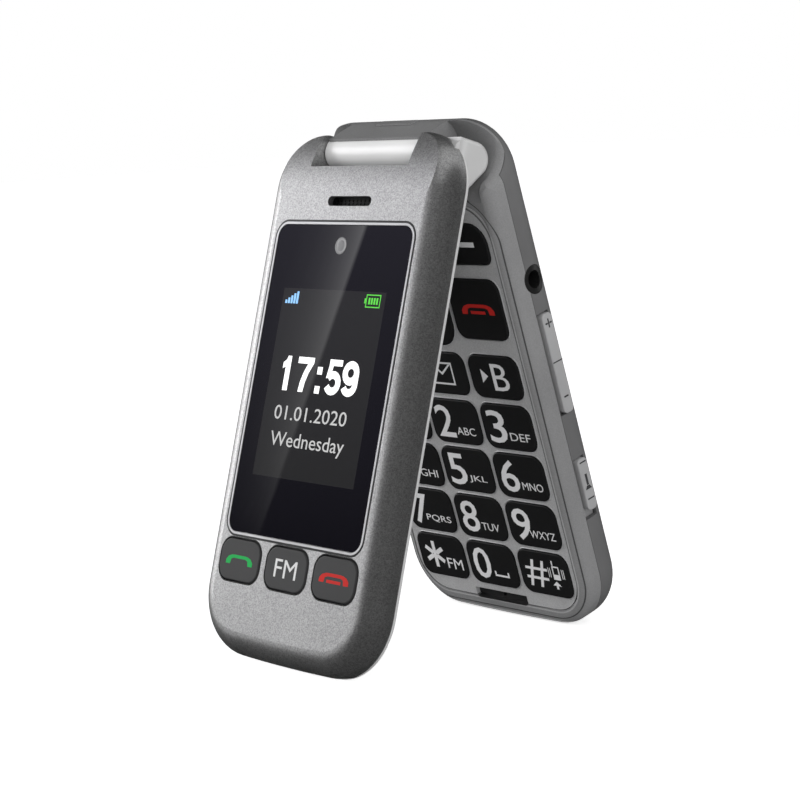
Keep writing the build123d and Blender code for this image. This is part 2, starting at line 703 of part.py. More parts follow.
def base_form(inset):
    """The base's outer form, set in all round."""
    with BuildPart() as form:
        with BuildSketch(base_plan(BASE_BACK + inset)):
            add(
                outline(
                    HALF_WIDTH - inset,
                    BASE_TOP - inset,
                    BASE_END - inset,
                    BASE_TOP_RADIUS - inset,
                    BASE_END_RADIUS - inset,
                    BASE_BOW,
                )
            )
        extrude(amount=BASE_RIM - BASE_BACK - 2 * inset)
        faces = form.faces().sort_by(Axis((0, 0, 0), base_plan(0).z_dir))
        fillet(faces[0].edges(), BACK_ROUND - inset)
        faces = form.faces().sort_by(Axis((0, 0, 0), base_plan(0).z_dir))
        fillet(faces[-1].edges(), RIM_ROUND - inset)
    return form.part


def front_section(grow=0.0):
    """Side view of the front housing's share: all above the parting, and a lining round the hinge."""
    with BuildSketch() as face:
        Circle(SCOOP_RADIUS + LINING + grow)
        with Locations(((BASE_END - BASE_TOP) / 2, BASE_PARTING - grow)):
            Rectangle(BASE_END + 2 * BASE_TOP, 2 * SCOOP_RADIUS, align=(Align.CENTER, Align.MIN))
    return face.sketch


CAVITY_TOP = 13.5
CAVITY_END = FASCIA_END - 2.4
KEY_ROOM_HALF = FASCIA_HALF - SHELF + EASE / 2
ROOM_TOP = 10.5
SHELF_LOW = -2.1
FASCIA_BACK = FASCIA_FACE - FASCIA_THICK
BLOCK_TIP = (-3.6, BLOCK_CREST)
BLOCK_FOOT = (-BASE_TOP, -5.0)
SCOOP_GAP = 0.4
PRY_HALF = 5.3
PRY_LIP = (-5.9, -3.8)
PRY_PROUD = 0.3
PRY_LOW = -7.4
PRY_DEEP = 0.9
LUG_ROOM = LUG_OUTER + SCOOP_GAP


def scoop_section():
    """Side view of the scoop: round, with a soft corner where it reaches the rim."""
    with BuildSketch() as face:
        Circle(SCOOP_RADIUS)
        with Locations((0, BASE_RIM)):
            Rectangle(4 * SCOOP_RADIUS, SCOOP_RADIUS, align=(Align.CENTER, Align.MIN))
        corner = face.vertices().filter_by(lambda spot: 0 < spot.X <= SCOOP_RADIUS)
        fillet(corner.sort_by(Axis.Y)[0], SCOOP_ROUND)
    return face.sketch


def scoop_edge(side):
    """Ring cut off where the scoop runs out through a side, leaving a soft edge."""
    inner = HALF_WIDTH - SCOOP_ROUND
    outer = HALF_WIDTH + 1
    with BuildPart() as ring:
        with BuildSketch(base_plan(0)):
            with BuildLine():
                edge = TangentArc(
                    (side * inner, SCOOP_RADIUS),
                    (side * HALF_WIDTH, SCOOP_RADIUS + SCOOP_ROUND),
                    tangent=(side, 0),
                )
                Polyline(
                    edge @ 1,
                    (side * outer, SCOOP_RADIUS + SCOOP_ROUND),
                    (side * outer, SCOOP_RADIUS - 1),
                    (side * inner, SCOOP_RADIUS - 1),
                    edge @ 0,
                )
            make_face()
        revolve(axis=Axis((HINGE_X, HINGE_Y, HINGE_Z), (1, 0, 0)))
    return ring.part


def block_section(past):
    """Side view of the raised block behind the barrel, or of the air past its end face."""
    edge_v = -2 * BASE_TOP if past else 0
    with BuildSketch() as face:
        with BuildLine():
            Polyline(BLOCK_FOOT, BLOCK_TIP, (edge_v, BLOCK_CREST), (edge_v, BLOCK_FOOT[1]), BLOCK_FOOT)
        make_face()
    return face.sketch


MIC_V = FASCIA_END - 0.9
MIC_SIZE = (4.0, 3.0)
MIC_HIGH = 0.9
MIC_HOLE = 0.5
BOARD_LOW = BOARD_TOP - BOARD_THICK
POST_LOW = BOARD_LOW
ROCKER_SLOT = (ROCKER_V - ROCKER_LENGTH / 2 - EASE, ROCKER_V + ROCKER_LENGTH / 2 + EASE)
SWITCH_SLOT = (
    SWITCH_V - SWITCH_LENGTH / 2 - EASE,
    SWITCH_V + SWITCH_LENGTH / 2 + SWITCH_TRAVEL + EASE,
)
SIDE_SLOT_LOW = SIDE_KEY_LOW - EASE


def side_bore(radius, u_low, u_high):
    """Round bar square to the sides, on the jack's axis."""
    return across(BASE_LEAN, disc(radius, JACK_V, JACK_W), u_low, u_high)


PORT_HALF = (PORT_SIZE[0] / 2, PORT_SIZE[1] / 2)
PORT_SHELL = 0.4
PORT_DEEP = 6.5
PORT_OUT = HALF_WIDTH - 0.3


def port_block(grow, u_low, u_high, room=0.0):
    low = PORT_W - PORT_HALF[1] - grow
    high = PORT_W + PORT_HALF[1] + grow + room
    reach = (PORT_V - PORT_HALF[0] - grow, PORT_V + PORT_HALF[0] + grow)
    return block(base_plan, low, high, (u_low, u_high), reach)


with BuildPart() as front_share:
    add(base_form(0))
    with BuildSketch(section(BASE_LEAN, HALF_WIDTH + 1)):
        add(front_section())
    extrude(amount=2 * HALF_WIDTH + 2, mode=Mode.INTERSECT)

with BuildPart() as front_room:
    add(base_form(BASE_WALL))
    add(block(base_plan, BASE_PARTING - 1, SHELF_LOW, (-HALF_WIDTH, HALF_WIDTH), (ROOM_TOP, BASE_END)), mode=Mode.INTERSECT)

with BuildPart() as base_front_housing:
    add(front_share.part)
    add(front_room.part, mode=Mode.SUBTRACT)
    # room of the keys and seat of the fascia
    with BuildSketch(base_plan(SHELF_LOW - 1)):
        add(window(KEY_ROOM_HALF, CAVITY_TOP, CAVITY_END, FASCIA_TOP_RADIUS / 2))
        with Locations((0, -MIC_V)):
            Circle(MIC_HOLE)
    extrude(amount=SCOOP_RADIUS, mode=Mode.SUBTRACT)
    with BuildSketch(base_plan(FASCIA_BACK)):
        add(outline(FASCIA_HALF + SEAM, SEAM - FASCIA_TOP, FASCIA_END + SEAM, FASCIA_TOP_RADIUS, FASCIA_END_RADIUS, BASE_BOW))
    extrude(amount=2 * FASCIA_THICK, mode=Mode.SUBTRACT)
    # hollows that the lid's lugs sweep through
    add(across(BASE_LEAN, scoop_section(), -HALF_WIDTH - 1, -BLOCK_HALF), mode=Mode.SUBTRACT)
    add(across(BASE_LEAN, scoop_section(), BLOCK_HALF, HALF_WIDTH + 1), mode=Mode.SUBTRACT)
    add(across(BASE_LEAN, lug_section(SCOOP_GAP), -LUG_ROOM, -BLOCK_HALF), mode=Mode.SUBTRACT)
    add(across(BASE_LEAN, lug_section(SCOOP_GAP), BLOCK_HALF, LUG_ROOM), mode=Mode.SUBTRACT)
    for side in (-1, 1):
        add(scoop_edge(side), mode=Mode.SUBTRACT)
    # block that holds the barrel
    add(across(BASE_LEAN, block_section(True), -BLOCK_HALF, BLOCK_HALF), mode=Mode.SUBTRACT)
    add(across(BASE_LEAN, block_section(False), -BLOCK_HALF, BLOCK_HALF))
    add(across(BASE_LEAN, disc(SLEEVE_RADIUS + RUNNING), -HALF_WIDTH, HALF_WIDTH), mode=Mode.SUBTRACT)
    add(flex_slot, mode=Mode.SUBTRACT)
    # screw posts
    add(post(base_plan, POST_LOW, SHELF_LOW, POST_RADIUS, BASE_SCREWS))
    add(post(base_plan, 2 * POST_LOW, SHELF_LOW, SCREW_RADIUS + RUNNING, BASE_SCREWS), mode=Mode.SUBTRACT)
    # half hole of the headphone socket
    add(side_bore(JACK_COLLAR + RUNNING, BLOCK_HALF, HALF_WIDTH + 1), mode=Mode.SUBTRACT)
    # lip over the notch that opens the battery cover
    add(block(base_plan, *PRY_LIP, (-PRY_HALF, PRY_HALF), (-BASE_TOP - PRY_PROUD, SEAM - BASE_TOP)))
base_front_housing.part.label = "base_front_housing"

# ---- Keys of the base --------------------------------------------------------------------

CORNER_SOFT = 4.5
SOFT_RADIUS = 2.0


def soft_face(side, grow=0.0):
    """Soft key outline: a larger round at the outer corner near the hinge."""
    with BuildSketch() as face:
        Rectangle(SOFT_SIZE[0] + 2 * grow, SOFT_SIZE[1] + 2 * grow)
        corners = face.vertices().sort_by(Axis.X, reverse=side < 0)
        outer = corners[2:].sort_by(Axis.Y)
        fillet(outer[1], CORNER_SOFT + grow)
        rest = face.vertices().filter_by(lambda corner: abs(abs(corner.Y) - SOFT_SIZE[1] / 2 - grow) < SEAM)
        fillet(rest.filter_by(lambda corner: corner.Y < 0 or corner.X * side < 0), SOFT_RADIUS + grow)
    return face.sketch


KEYS = [
    ("left_soft_key", (-SOFT_U, SOFT_V), lambda grow: soft_face(-1, grow)),
    ("right_soft_key", (SOFT_U, SOFT_V), lambda grow: soft_face(1, grow)),
    ("call_key", (-SOFT_U, CALL_V), lambda grow: rounded(CALL_SIZE, KEY_RADIUS, grow)),
    ("end_key", (SOFT_U, CALL_V), lambda grow: rounded(CALL_SIZE, KEY_RADIUS, grow)),
]
FIRST_ROW = ["memory_a_key", "message_key", "memory_b_key"]
DIGITS = [
    ["digit_1_key", "digit_2_key", "digit_3_key"],
    ["digit_4_key", "digit_5_key", "digit_6_key"],
    ["digit_7_key", "digit_8_key", "digit_9_key"],
    ["star_key", "digit_0_key", "hash_key"],
]
for column, name in enumerate(FIRST_ROW):
    spot = ((column - 1) * KEY_PITCH_U, FIRST_ROW_V)
    KEYS.append((name, spot, lambda grow: rounded(FIRST_ROW_SIZE, KEY_RADIUS, grow)))
for row, names in enumerate(DIGITS):
    for column, name in enumerate(names):
        spot = ((column - 1) * KEY_PITCH_U, FIRST_ROW_V + (row + 1) * KEY_PITCH_V)
        KEYS.append((name, spot, lambda grow: rounded(DIGIT_SIZE, KEY_RADIUS, grow)))

SHEET_FACE = BOARD_TOP + SHEET_THICK
DOME_TIP = SHEET_FACE + DOME_HIGH
PLUNGER_END = DOME_TIP + TRAVEL + SEAM / 2
KEY_UNDER = FASCIA_BACK - SEAM / 2
NAV_U = NAV_SIZE[0] / 2 - 1.6
NAV_REACH = NAV_SIZE[1] / 2 - 2.2
NAV_SPOTS = [(-NAV_U, NAV_V), (NAV_U, NAV_V), (0, NAV_V - NAV_REACH), (0, NAV_V + NAV_REACH)]

base_keys = []
for name, spot, face in KEYS:
    key = key_cap(base_plan, spot, face(0), face(FLANGE), KEY_FACE, KEY_UNDER, [spot], PLUNGER_END)
    base_keys.append((name, key))

NAV_CENTRE = (NAV_HOLE[0] - 2 * NAV_GAP, NAV_HOLE[1] - 2 * NAV_GAP)

with BuildPart() as nav_ring_key:
    add(
        key_cap(
            base_plan,
            (0, NAV_V),
            rounded(NAV_SIZE, NAV_RADIUS),
            rounded(NAV_SIZE, NAV_RADIUS, FLANGE),
            KEY_FACE,
            KEY_UNDER,
            NAV_SPOTS,
            PLUNGER_END,
        )
    )
    with BuildSketch(base_plan(KEY_FACE)):
        with Locations((0, -NAV_V)):
            add(rounded(NAV_HOLE, NAV_HOLE_RADIUS))
    extrude(amount=PLUNGER_END - KEY_FACE, taper=-NAV_DRAFT, mode=Mode.SUBTRACT)
base_keys.append(("nav_ring_key", nav_ring_key.part))

with BuildPart() as nav_centre_key:
    with BuildSketch(base_plan(KEY_FACE)):
        with Locations((0, -NAV_V)):
            add(rounded(NAV_CENTRE, NAV_CENTRE_RADIUS))
    extrude(amount=PLUNGER_END - KEY_FACE, taper=-NAV_DRAFT)
    crest = nav_centre_key.faces().sort_by(Axis((0, 0, 0), base_plan(0).z_dir))[-1]
    fillet(crest.edges(), CAP_ROUND)
base_keys.append(("nav_centre_key", nav_centre_key.part))

with BuildPart() as keypad_fascia:
    with BuildSketch(base_plan(FASCIA_BACK)):
        add(outline(FASCIA_HALF, -FASCIA_TOP, FASCIA_END, FASCIA_TOP_RADIUS, FASCIA_END_RADIUS, BASE_BOW))
        for name, spot, face in KEYS:
            with Locations((spot[0], -spot[1])):
                add(face(EASE), mode=Mode.SUBTRACT)
        with Locations((0, -NAV_V)):
            add(rounded(NAV_SIZE, NAV_RADIUS, EASE), mode=Mode.SUBTRACT)
        with Locations((0, -MIC_SLOT_V)):
            Rectangle(2 * MIC_SLOT_HALF, 2 * MIC_SIZE[1], align=(Align.CENTER, Align.MAX), mode=Mode.SUBTRACT)
    extrude(amount=FASCIA_THICK)
keypad_fascia.part.label = "keypad_fascia"

with BuildPart() as keypad_dome_sheet:
    with BuildSketch(base_plan(BOARD_TOP)):
        add(window(KEY_ROOM_HALF - EASE, CAVITY_TOP + EASE, CAVITY_END - EASE, FASCIA_TOP_RADIUS / 2))
    extrude(amount=SHEET_THICK)
    add(post(base_plan, BOARD_TOP, DOME_TIP, DOME_RADIUS, [spot for _, spot, _ in KEYS]))
    add(post(base_plan, BOARD_TOP, DOME_TIP, DOME_RADIUS, [(0, NAV_V)] + NAV_SPOTS))
keypad_dome_sheet.part.label = "keypad_dome_sheet"

# ---- Inside the base ---------------------------------------------------------------------

BOARD_TOP_V = 11.0
BOARD_INSET = BASE_WALL + EASE
JACK_SIZE = (JACK_DEPTH, 6.0, 5.0)
JACK_FACE = HALF_WIDTH - 0.1
JACK_BACK = 0.5
JACK_REACH = (JACK_V - JACK_SIZE[1] / 2, JACK_V + JACK_SIZE[1] / 2)
JACK_HIGH = (JACK_W - JACK_SIZE[2] / 2, JACK_W + JACK_SIZE[2] / 2)
ROUND_DROP = BASE_BACK + BACK_ROUND - JACK_HIGH[0]
ROUND_REACH = sqrt((BACK_ROUND - BASE_WALL) ** 2 - ROUND_DROP**2)
JACK_BODY = (JACK_FACE - JACK_DEPTH - JACK_BACK, HALF_WIDTH - BACK_ROUND + ROUND_REACH - EASE)
JACK_COLLAR_START = HALF_WIDTH - BOARD_INSET + SEAM
KEY_SWITCH = 3.0
KEY_SWITCH_THICK = 1.6
KEY_SWITCH_GAP = 0.7  # from a switch to the lip of its key
KEY_SWITCH_REACH = 6.0  # from the rocker's middle to either switch
SIDE_LIP = (HALF_WIDTH - SIDE_LIP_DEEP - SIDE_LIP_THICK, HALF_WIDTH - SIDE_LIP_DEEP)
KEY_SWITCH_FACE = SIDE_LIP[0] - KEY_SWITCH_GAP
KEY_SWITCH_U = (KEY_SWITCH_FACE - KEY_SWITCH_THICK, KEY_SWITCH_FACE)
KEY_SWITCH_SPOTS = [ROCKER_V - KEY_SWITCH_REACH, ROCKER_V + KEY_SWITCH_REACH, SWITCH_V]
CANS = [((-15.0, 11.0), (45.0, 62.0)), ((-15.0, 15.0), (66.0, BASE_END - 13.8))]

with BuildPart() as main_circuit_board:
    with BuildSketch(base_plan(BOARD_LOW)):
        add(
            outline(
                HALF_WIDTH - BOARD_INSET,
                -BOARD_TOP_V,
                BASE_END - BOARD_INSET,
                SOFT_RADIUS,
                BASE_END_RADIUS - BOARD_INSET,
                BASE_BOW,
            )
        )
        with Locations(*[(u, -v) for u, v in BASE_SCREWS]):
            Circle(POST_RADIUS + SEAM, mode=Mode.SUBTRACT)
    extrude(amount=BOARD_THICK)
    # switches behind the side keys
    for v in KEY_SWITCH_SPOTS:
        reach = (v - KEY_SWITCH / 2, v + KEY_SWITCH / 2)
        add(block(base_plan, SIDE_KEY_LOW, BOARD_LOW, KEY_SWITCH_U, reach))
    # shielding cans
    for u_range, v_range in CANS:
        add(block(base_plan, BOARD_LOW - CHASSIS_WALL, BOARD_LOW, u_range, v_range))
main_circuit_board.part.label = "main_circuit_board"

CHASSIS_TOP = BOARD_LOW - SEAM
CHASSIS_FLOOR = CHASSIS_TOP - CHASSIS_WALL
CHASSIS_INSET = BASE_WALL + SEAM
BATTERY_TOP = CHASSIS_FLOOR - SEAM
BATTERY_LOW = BATTERY_TOP - BATTERY_SIZE[2]
BATTERY_HALF = BATTERY_SIZE[0] / 2
BATTERY_REACH = (BATTERY_V - BATTERY_SIZE[1] / 2, BATTERY_V + BATTERY_SIZE[1] / 2)
TORCH_STEP = -8.0
TORCH_BASE = 5.0
SIDE_LIP_OVER = 1.9
SIDE_ROOM = (SIDE_LIP[0] - ROCKER_GAP, SIDE_LIP[1] + 2 * EASE)
SIDE_KEY_W = (SIDE_KEY_LOW + SIDE_KEY_HIGH) / 2
SIDE_KEY_WIDTH = SIDE_KEY_HIGH - SIDE_KEY_LOW
SIDE_ROOM_LOW = SIDE_KEY_LOW - FLANGE - EASE
ROCKER_ROOM = (ROCKER_SLOT[0] - FLANGE - EASE, ROCKER_SLOT[1] + FLANGE + EASE)
SWITCH_ROOM = (SWITCH_SLOT[0] - SIDE_LIP_OVER - EASE, SWITCH_SLOT[1] + SIDE_LIP_OVER + EASE)
FULCRUM = 1.6
NOSE_RADIUS = 0.55  # round nose that the volume rocker rocks on

with BuildPart() as chassis_room:
    add(base_form(CHASSIS_INSET + CHASSIS_WALL))
    add(
        block(
            base_plan,
            BASE_BACK,
            CHASSIS_FLOOR,
            (-HALF_WIDTH, HALF_WIDTH),
            (-2 * BASE_TOP, BASE_END + BASE_TOP),
        ),
        mode=Mode.INTERSECT,
    )

with BuildPart() as base_chassis:
    add(base_form(CHASSIS_INSET))
    add(
        block(
            base_plan,
            BASE_BACK + CHASSIS_INSET + CHASSIS_WALL,
            CHASSIS_TOP,
            (-HALF_WIDTH, HALF_WIDTH),
            (-2 * BASE_TOP, BASE_END + BASE_TOP),
        ),
        mode=Mode.INTERSECT,
    )
    add(chassis_room.part, mode=Mode.SUBTRACT)
    # walls of the battery bay
    with BuildSketch(base_plan(BATTERY_LOW)):
        with Locations((0, -BATTERY_V)):
            bay = (BATTERY_SIZE[0] + 2 * EASE, BATTERY_SIZE[1] + 2 * EASE)
            Rectangle(bay[0] + 2 * CHASSIS_WALL, bay[1] + 2 * CHASSIS_WALL)
            Rectangle(*bay, mode=Mode.SUBTRACT)
    extrude(amount=CHASSIS_FLOOR - BATTERY_LOW)
    # step under the torch
    with BuildSketch(base_plan(TORCH_STEP)):
        with Locations((TORCH_U, -TORCH_V)):
            Rectangle(TORCH_BASE, TORCH_BASE)
    extrude(amount=CHASSIS_FLOOR - TORCH_STEP)
    # clearances round the board's cans, the sockets, the side keys and the hinge lining
    for u_range, v_range in CANS:
        room_u = (u_range[0] - EASE, u_range[1] + EASE)
        room_v = (v_range[0] - EASE, v_range[1] + EASE)
        add(block(base_plan, CHASSIS_FLOOR - SEAM, CHASSIS_TOP, room_u, room_v), mode=Mode.SUBTRACT)
    add(
        block(
            base_plan,
            JACK_HIGH[0] - EASE,
            CHASSIS_TOP,
            (JACK_BODY[0] - EASE, HALF_WIDTH),
            (JACK_REACH[0] - EASE, JACK_REACH[1] + EASE),
        ),
        mode=Mode.SUBTRACT,
    )
    add(port_block(PORT_SHELL + EASE, -HALF_WIDTH, PORT_DEEP - PORT_OUT + EASE, 1), mode=Mode.SUBTRACT)
    for v_range in (ROCKER_ROOM, SWITCH_ROOM):
        room_u = (KEY_SWITCH_U[0] - EASE, HALF_WIDTH)
        add(block(base_plan, SIDE_ROOM_LOW, CHASSIS_TOP, room_u, v_range), mode=Mode.SUBTRACT)
    add(across(BASE_LEAN, disc(SCOOP_RADIUS + LINING + SEAM), -HALF_WIDTH, HALF_WIDTH), mode=Mode.SUBTRACT)
    sides = (-HALF_WIDTH, HALF_WIDTH)
    add(block(base_plan, BASE_PARTING - SEAM, CHASSIS_TOP, sides, (-BASE_TOP, ROOM_TOP + EASE)), mode=Mode.SUBTRACT)
    # rest for the nose of the volume rocker
    add(
        block(
            base_plan,
            SIDE_KEY_LOW,
            CHASSIS_TOP,
            (KEY_SWITCH_U[0] - EASE, SIDE_LIP[0] - NOSE_RADIUS - SEAM),
            (ROCKER_V - FULCRUM / 2, ROCKER_V + FULCRUM / 2),
        )
    )
    add(post(base_plan, CHASSIS_FLOOR - 1, CHASSIS_TOP, SCREW_RADIUS + SEAM, BASE_SCREWS), mode=Mode.SUBTRACT)
base_chassis.part.label = "base_chassis"

with BuildPart() as battery_cover:
    add(base_form(0))
    add(across(BASE_LEAN, front_section(SEAM), -HALF_WIDTH - 1, HALF_WIDTH + 1), mode=Mode.SUBTRACT)
    add(base_form(BASE_WALL), mode=Mode.SUBTRACT)
    for side in (-1, 1):
        add(scoop_edge(side), mode=Mode.SUBTRACT)
    # headphone socket, charging socket, torch
    add(side_bore(JACK_COLLAR + RUNNING, JACK_BODY[1] - EASE, HALF_WIDTH + 1), mode=Mode.SUBTRACT)
    add(port_block(PORT_SHELL + EASE, -HALF_WIDTH - 1, BASE_WALL + 1 - HALF_WIDTH, 1), mode=Mode.SUBTRACT)
    add(post(base_plan, BASE_BACK - 1, BASE_BACK + 2 * BASE_WALL, TORCH_RADIUS, [(TORCH_U, TORCH_V)]), mode=Mode.SUBTRACT)
    # slots and inner pockets of the side keys
    for slot, pocket in ((ROCKER_SLOT, ROCKER_ROOM), (SWITCH_SLOT, SWITCH_ROOM)):
        add(block(base_plan, SIDE_SLOT_LOW, BASE_PARTING, (SIDE_ROOM[0], HALF_WIDTH + 1), slot), mode=Mode.SUBTRACT)
        add(block(base_plan, SIDE_ROOM_LOW, BASE_PARTING, SIDE_ROOM, pocket), mode=Mode.SUBTRACT)
    # finger notch at the hinge end
    pry_v = (-BASE_TOP - 1, PRY_DEEP - BASE_TOP)
    add(block(base_plan, PRY_LOW, PRY_LIP[0], (-PRY_HALF, PRY_HALF), pry_v), mode=Mode.SUBTRACT)
battery_cover.part.label = "battery_cover"

with BuildPart() as battery:
    with BuildSketch(base_plan(BATTERY_LOW)):
        with Locations((0, -BATTERY_V)):
            RectangleRounded(BATTERY_SIZE[0], BATTERY_SIZE[1], 1.5)
    extrude(amount=BATTERY_SIZE[2])
battery.part.label = "battery"

with BuildPart() as headphone_socket:
    add(side_bore(JACK_COLLAR, JACK_COLLAR_START, HALF_WIDTH))
    add(base_form(SEAM), mode=Mode.INTERSECT)
    add(side_bore(JACK_SIZE[2] / 2, JACK_BODY[0], JACK_COLLAR_START))
    add(block(base_plan, *JACK_HIGH, JACK_BODY, JACK_REACH))
    add(side_bore(JACK_BORE, JACK_FACE - JACK_DEPTH, JACK_FACE), mode=Mode.SUBTRACT)
headphone_socket.part.label = "headphone_socket"

TONGUE = 0.6

with BuildPart() as charging_socket:
    add(port_block(PORT_SHELL, -PORT_OUT, PORT_DEEP - PORT_OUT))
    add(port_block(0, -PORT_OUT, PORT_DEEP - PORT_OUT - 1), mode=Mode.SUBTRACT)
    add(
        block(
            base_plan,
            PORT_W - TONGUE / 2,
            PORT_W + TONGUE / 2,
            (1 - PORT_OUT, PORT_DEEP - PORT_OUT),
            (PORT_V - PORT_HALF[0] + 1, PORT_V + PORT_HALF[0] - 1),
        )
    )
charging_socket.part.label = "charging_socket"

SIM_SIZE = (17.0, 15.5, 2.0)
SIM_V = 27.8
SIM_CARD = 0.8

with BuildPart() as sim_card_holder:
    with BuildSketch(base_plan(CHASSIS_FLOOR - SIM_SIZE[2])):
        with Locations((0, -SIM_V)):
            Rectangle(SIM_SIZE[0], SIM_SIZE[1])
    extrude(amount=SIM_SIZE[2])
    with BuildSketch(base_plan(CHASSIS_FLOOR - SIM_SIZE[2] / 2 - SIM_CARD / 2)):
        with Locations((0, -SIM_V - 1)):
            Rectangle(SIM_SIZE[0] - 2, SIM_SIZE[1])
    extrude(amount=SIM_CARD, mode=Mode.SUBTRACT)
sim_card_holder.part.label = "sim_card_holder"

MOTOR_SPOT = (HALF_WIDTH - 9.5, 17.6)
MOTOR_RADIUS = 4.0
MOTOR_THICK = 2.7

with BuildPart() as vibration_motor:
    add(post(base_plan, CHASSIS_FLOOR - MOTOR_THICK, CHASSIS_FLOOR, MOTOR_RADIUS, [MOTOR_SPOT]))
vibration_motor.part.label = "vibration_motor"

with BuildPart() as microphone:
    with BuildSketch(base_plan(BOARD_TOP)):
        with Locations((0, -MIC_V)):
            Rectangle(*MIC_SIZE)
    extrude(amount=MIC_HIGH)
    add(post(base_plan, BOARD_TOP + MIC_HIGH / 2, BOARD_TOP + MIC_HIGH, MIC_HOLE, [(0, MIC_V)]), mode=Mode.SUBTRACT)
microphone.part.label = "microphone"

with BuildPart() as torch_led:
    add(post(base_plan, BASE_BACK + SEAM, TORCH_STEP - 1, TORCH_RADIUS - EASE, [(TORCH_U, TORCH_V)]))
    lens = torch_led.faces().sort_by(Axis((0, 0, 0), base_plan(0).z_dir))[0]
    fillet(lens.edges(), 2 * CAP_ROUND)
    with BuildSketch(base_plan(TORCH_STEP - 1)):
        with Locations((TORCH_U, -TORCH_V)):
            Rectangle(TORCH_BASE, TORCH_BASE)
    extrude(amount=1)
torch_led.part.label = "torch_led"

with BuildPart() as base_screws:
    add(post(base_plan, CHASSIS_FLOOR - HEAD_THICK, CHASSIS_FLOOR, SCREW_HEAD, BASE_SCREWS))
    add(post(base_plan, CHASSIS_FLOOR, SHELF_LOW - EASE, SCREW_RADIUS, BASE_SCREWS))
base_screws.part.label = "base_screws"

# ---- Side keys ---------------------------------------------------------------------------


def side_key(centre_v, length, lip_over, bumps):
    """Key in the right side: rounded cap outside, lip inside the wall, bumps for the switches."""
    with BuildPart() as key:
        with BuildSketch(section(BASE_LEAN, HALF_WIDTH + SIDE_KEY_PROUD)):
            with Locations((centre_v, SIDE_KEY_W)):
                RectangleRounded(length, SIDE_KEY_WIDTH, 2 * ROCKER_GAP)
        extrude(amount=HALF_WIDTH + SIDE_KEY_PROUD - SIDE_LIP[1])
        crest = key.faces().sort_by(Axis.X)[-1]
        fillet(crest.edges(), CAP_ROUND)
        with BuildSketch(section(BASE_LEAN, SIDE_LIP[1])):
            with Locations((centre_v, SIDE_KEY_W)):
                Rectangle(length + 2 * lip_over, SIDE_KEY_WIDTH + 2 * FLANGE)
        extrude(amount=SIDE_LIP[1] - SIDE_LIP[0])
        with BuildSketch(section(BASE_LEAN, SIDE_LIP[0])):
            with Locations(*[(v, SIDE_KEY_W) for v in bumps]):
                Rectangle(FULCRUM, FULCRUM)
        extrude(amount=KEY_SWITCH_GAP - EASE - RUNNING)
    return key.part


with BuildPart() as volume_rocker:
    add(side_key(ROCKER_V, ROCKER_LENGTH, FLANGE, KEY_SWITCH_SPOTS[:2]))
    nose_low = SIDE_KEY_W - FULCRUM / 2
    add(post(base_plan, nose_low, nose_low + FULCRUM, NOSE_RADIUS, [(SIDE_LIP[0], ROCKER_V)]))

side_keys = [
    ("volume_rocker", volume_rocker.part),
    ("torch_slider", side_key(SWITCH_V, SWITCH_LENGTH, SIDE_LIP_OVER, [SWITCH_V])),
]

# ---- Export ------------------------------------------------------------------------------

os.makedirs("parts", exist_ok=True)

export_step(lid_outer_shell.part, "parts/lid_outer_shell.step")
export_step(lid_inner_frame.part, "parts/lid_inner_frame.step")
export_step(outer_window_glass.part, "parts/outer_window_glass.step")
export_step(outer_window_trim.part, "parts/outer_window_trim.step")
export_step(outer_display_panel.part, "parts/outer_display_panel.step")
export_step(camera_module.part, "parts/camera_module.step")
export_step(speaker_mesh.part, "parts/speaker_mesh.step")
export_step(loudspeaker.part, "parts/loudspeaker.step")
export_step(lid_circuit_board.part, "parts/lid_circuit_board.step")
export_step(lid_key_sheet.part, "parts/lid_key_sheet.step")
export_step(inner_window_glass.part, "parts/inner_window_glass.step")
export_step(inner_display_panel.part, "parts/inner_display_panel.step")
export_step(earpiece_receiver.part, "parts/earpiece_receiver.step")
export_step(lid_bumpers.part, "parts/lid_bumpers.step")
export_step(lid_screws.part, "parts/lid_screws.step")
export_step(hinge_drive_shaft.part, "parts/hinge_drive_shaft.step")
export_step(hinge_pivot_tube.part, "parts/hinge_pivot_tube.step")
export_step(hinge_spring_cartridge.part, "parts/hinge_spring_cartridge.step")
export_step(hinge_barrel_sleeve.part, "parts/hinge_barrel_sleeve.step")
export_step(hinge_flex_cable.part, "parts/hinge_flex_cable.step")
export_step(base_front_housing.part, "parts/base_front_housing.step")
export_step(keypad_fascia.part, "parts/keypad_fascia.step")
export_step(keypad_dome_sheet.part, "parts/keypad_dome_sheet.step")
export_step(main_circuit_board.part, "parts/main_circuit_board.step")
export_step(base_chassis.part, "parts/base_chassis.step")
export_step(battery_cover.part, "parts/battery_cover.step")
export_step(battery.part, "parts/battery.step")
export_step(headphone_socket.part, "parts/headphone_socket.step")
export_step(charging_socket.part, "parts/charging_socket.step")
export_step(sim_card_holder.part, "parts/sim_card_holder.step")
export_step(vibration_motor.part, "parts/vibration_motor.step")
export_step(microphone.part, "parts/microphone.step")
export_step(torch_led.part, "parts/torch_led.step")
export_step(base_screws.part, "parts/base_screws.step")

for name, key in lid_keys + base_keys + side_keys:
    key.label = name
    export_step(key, f"parts/{name}.step")
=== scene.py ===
import json
import math

import bmesh
import bpy
from mathutils import Matrix, Vector


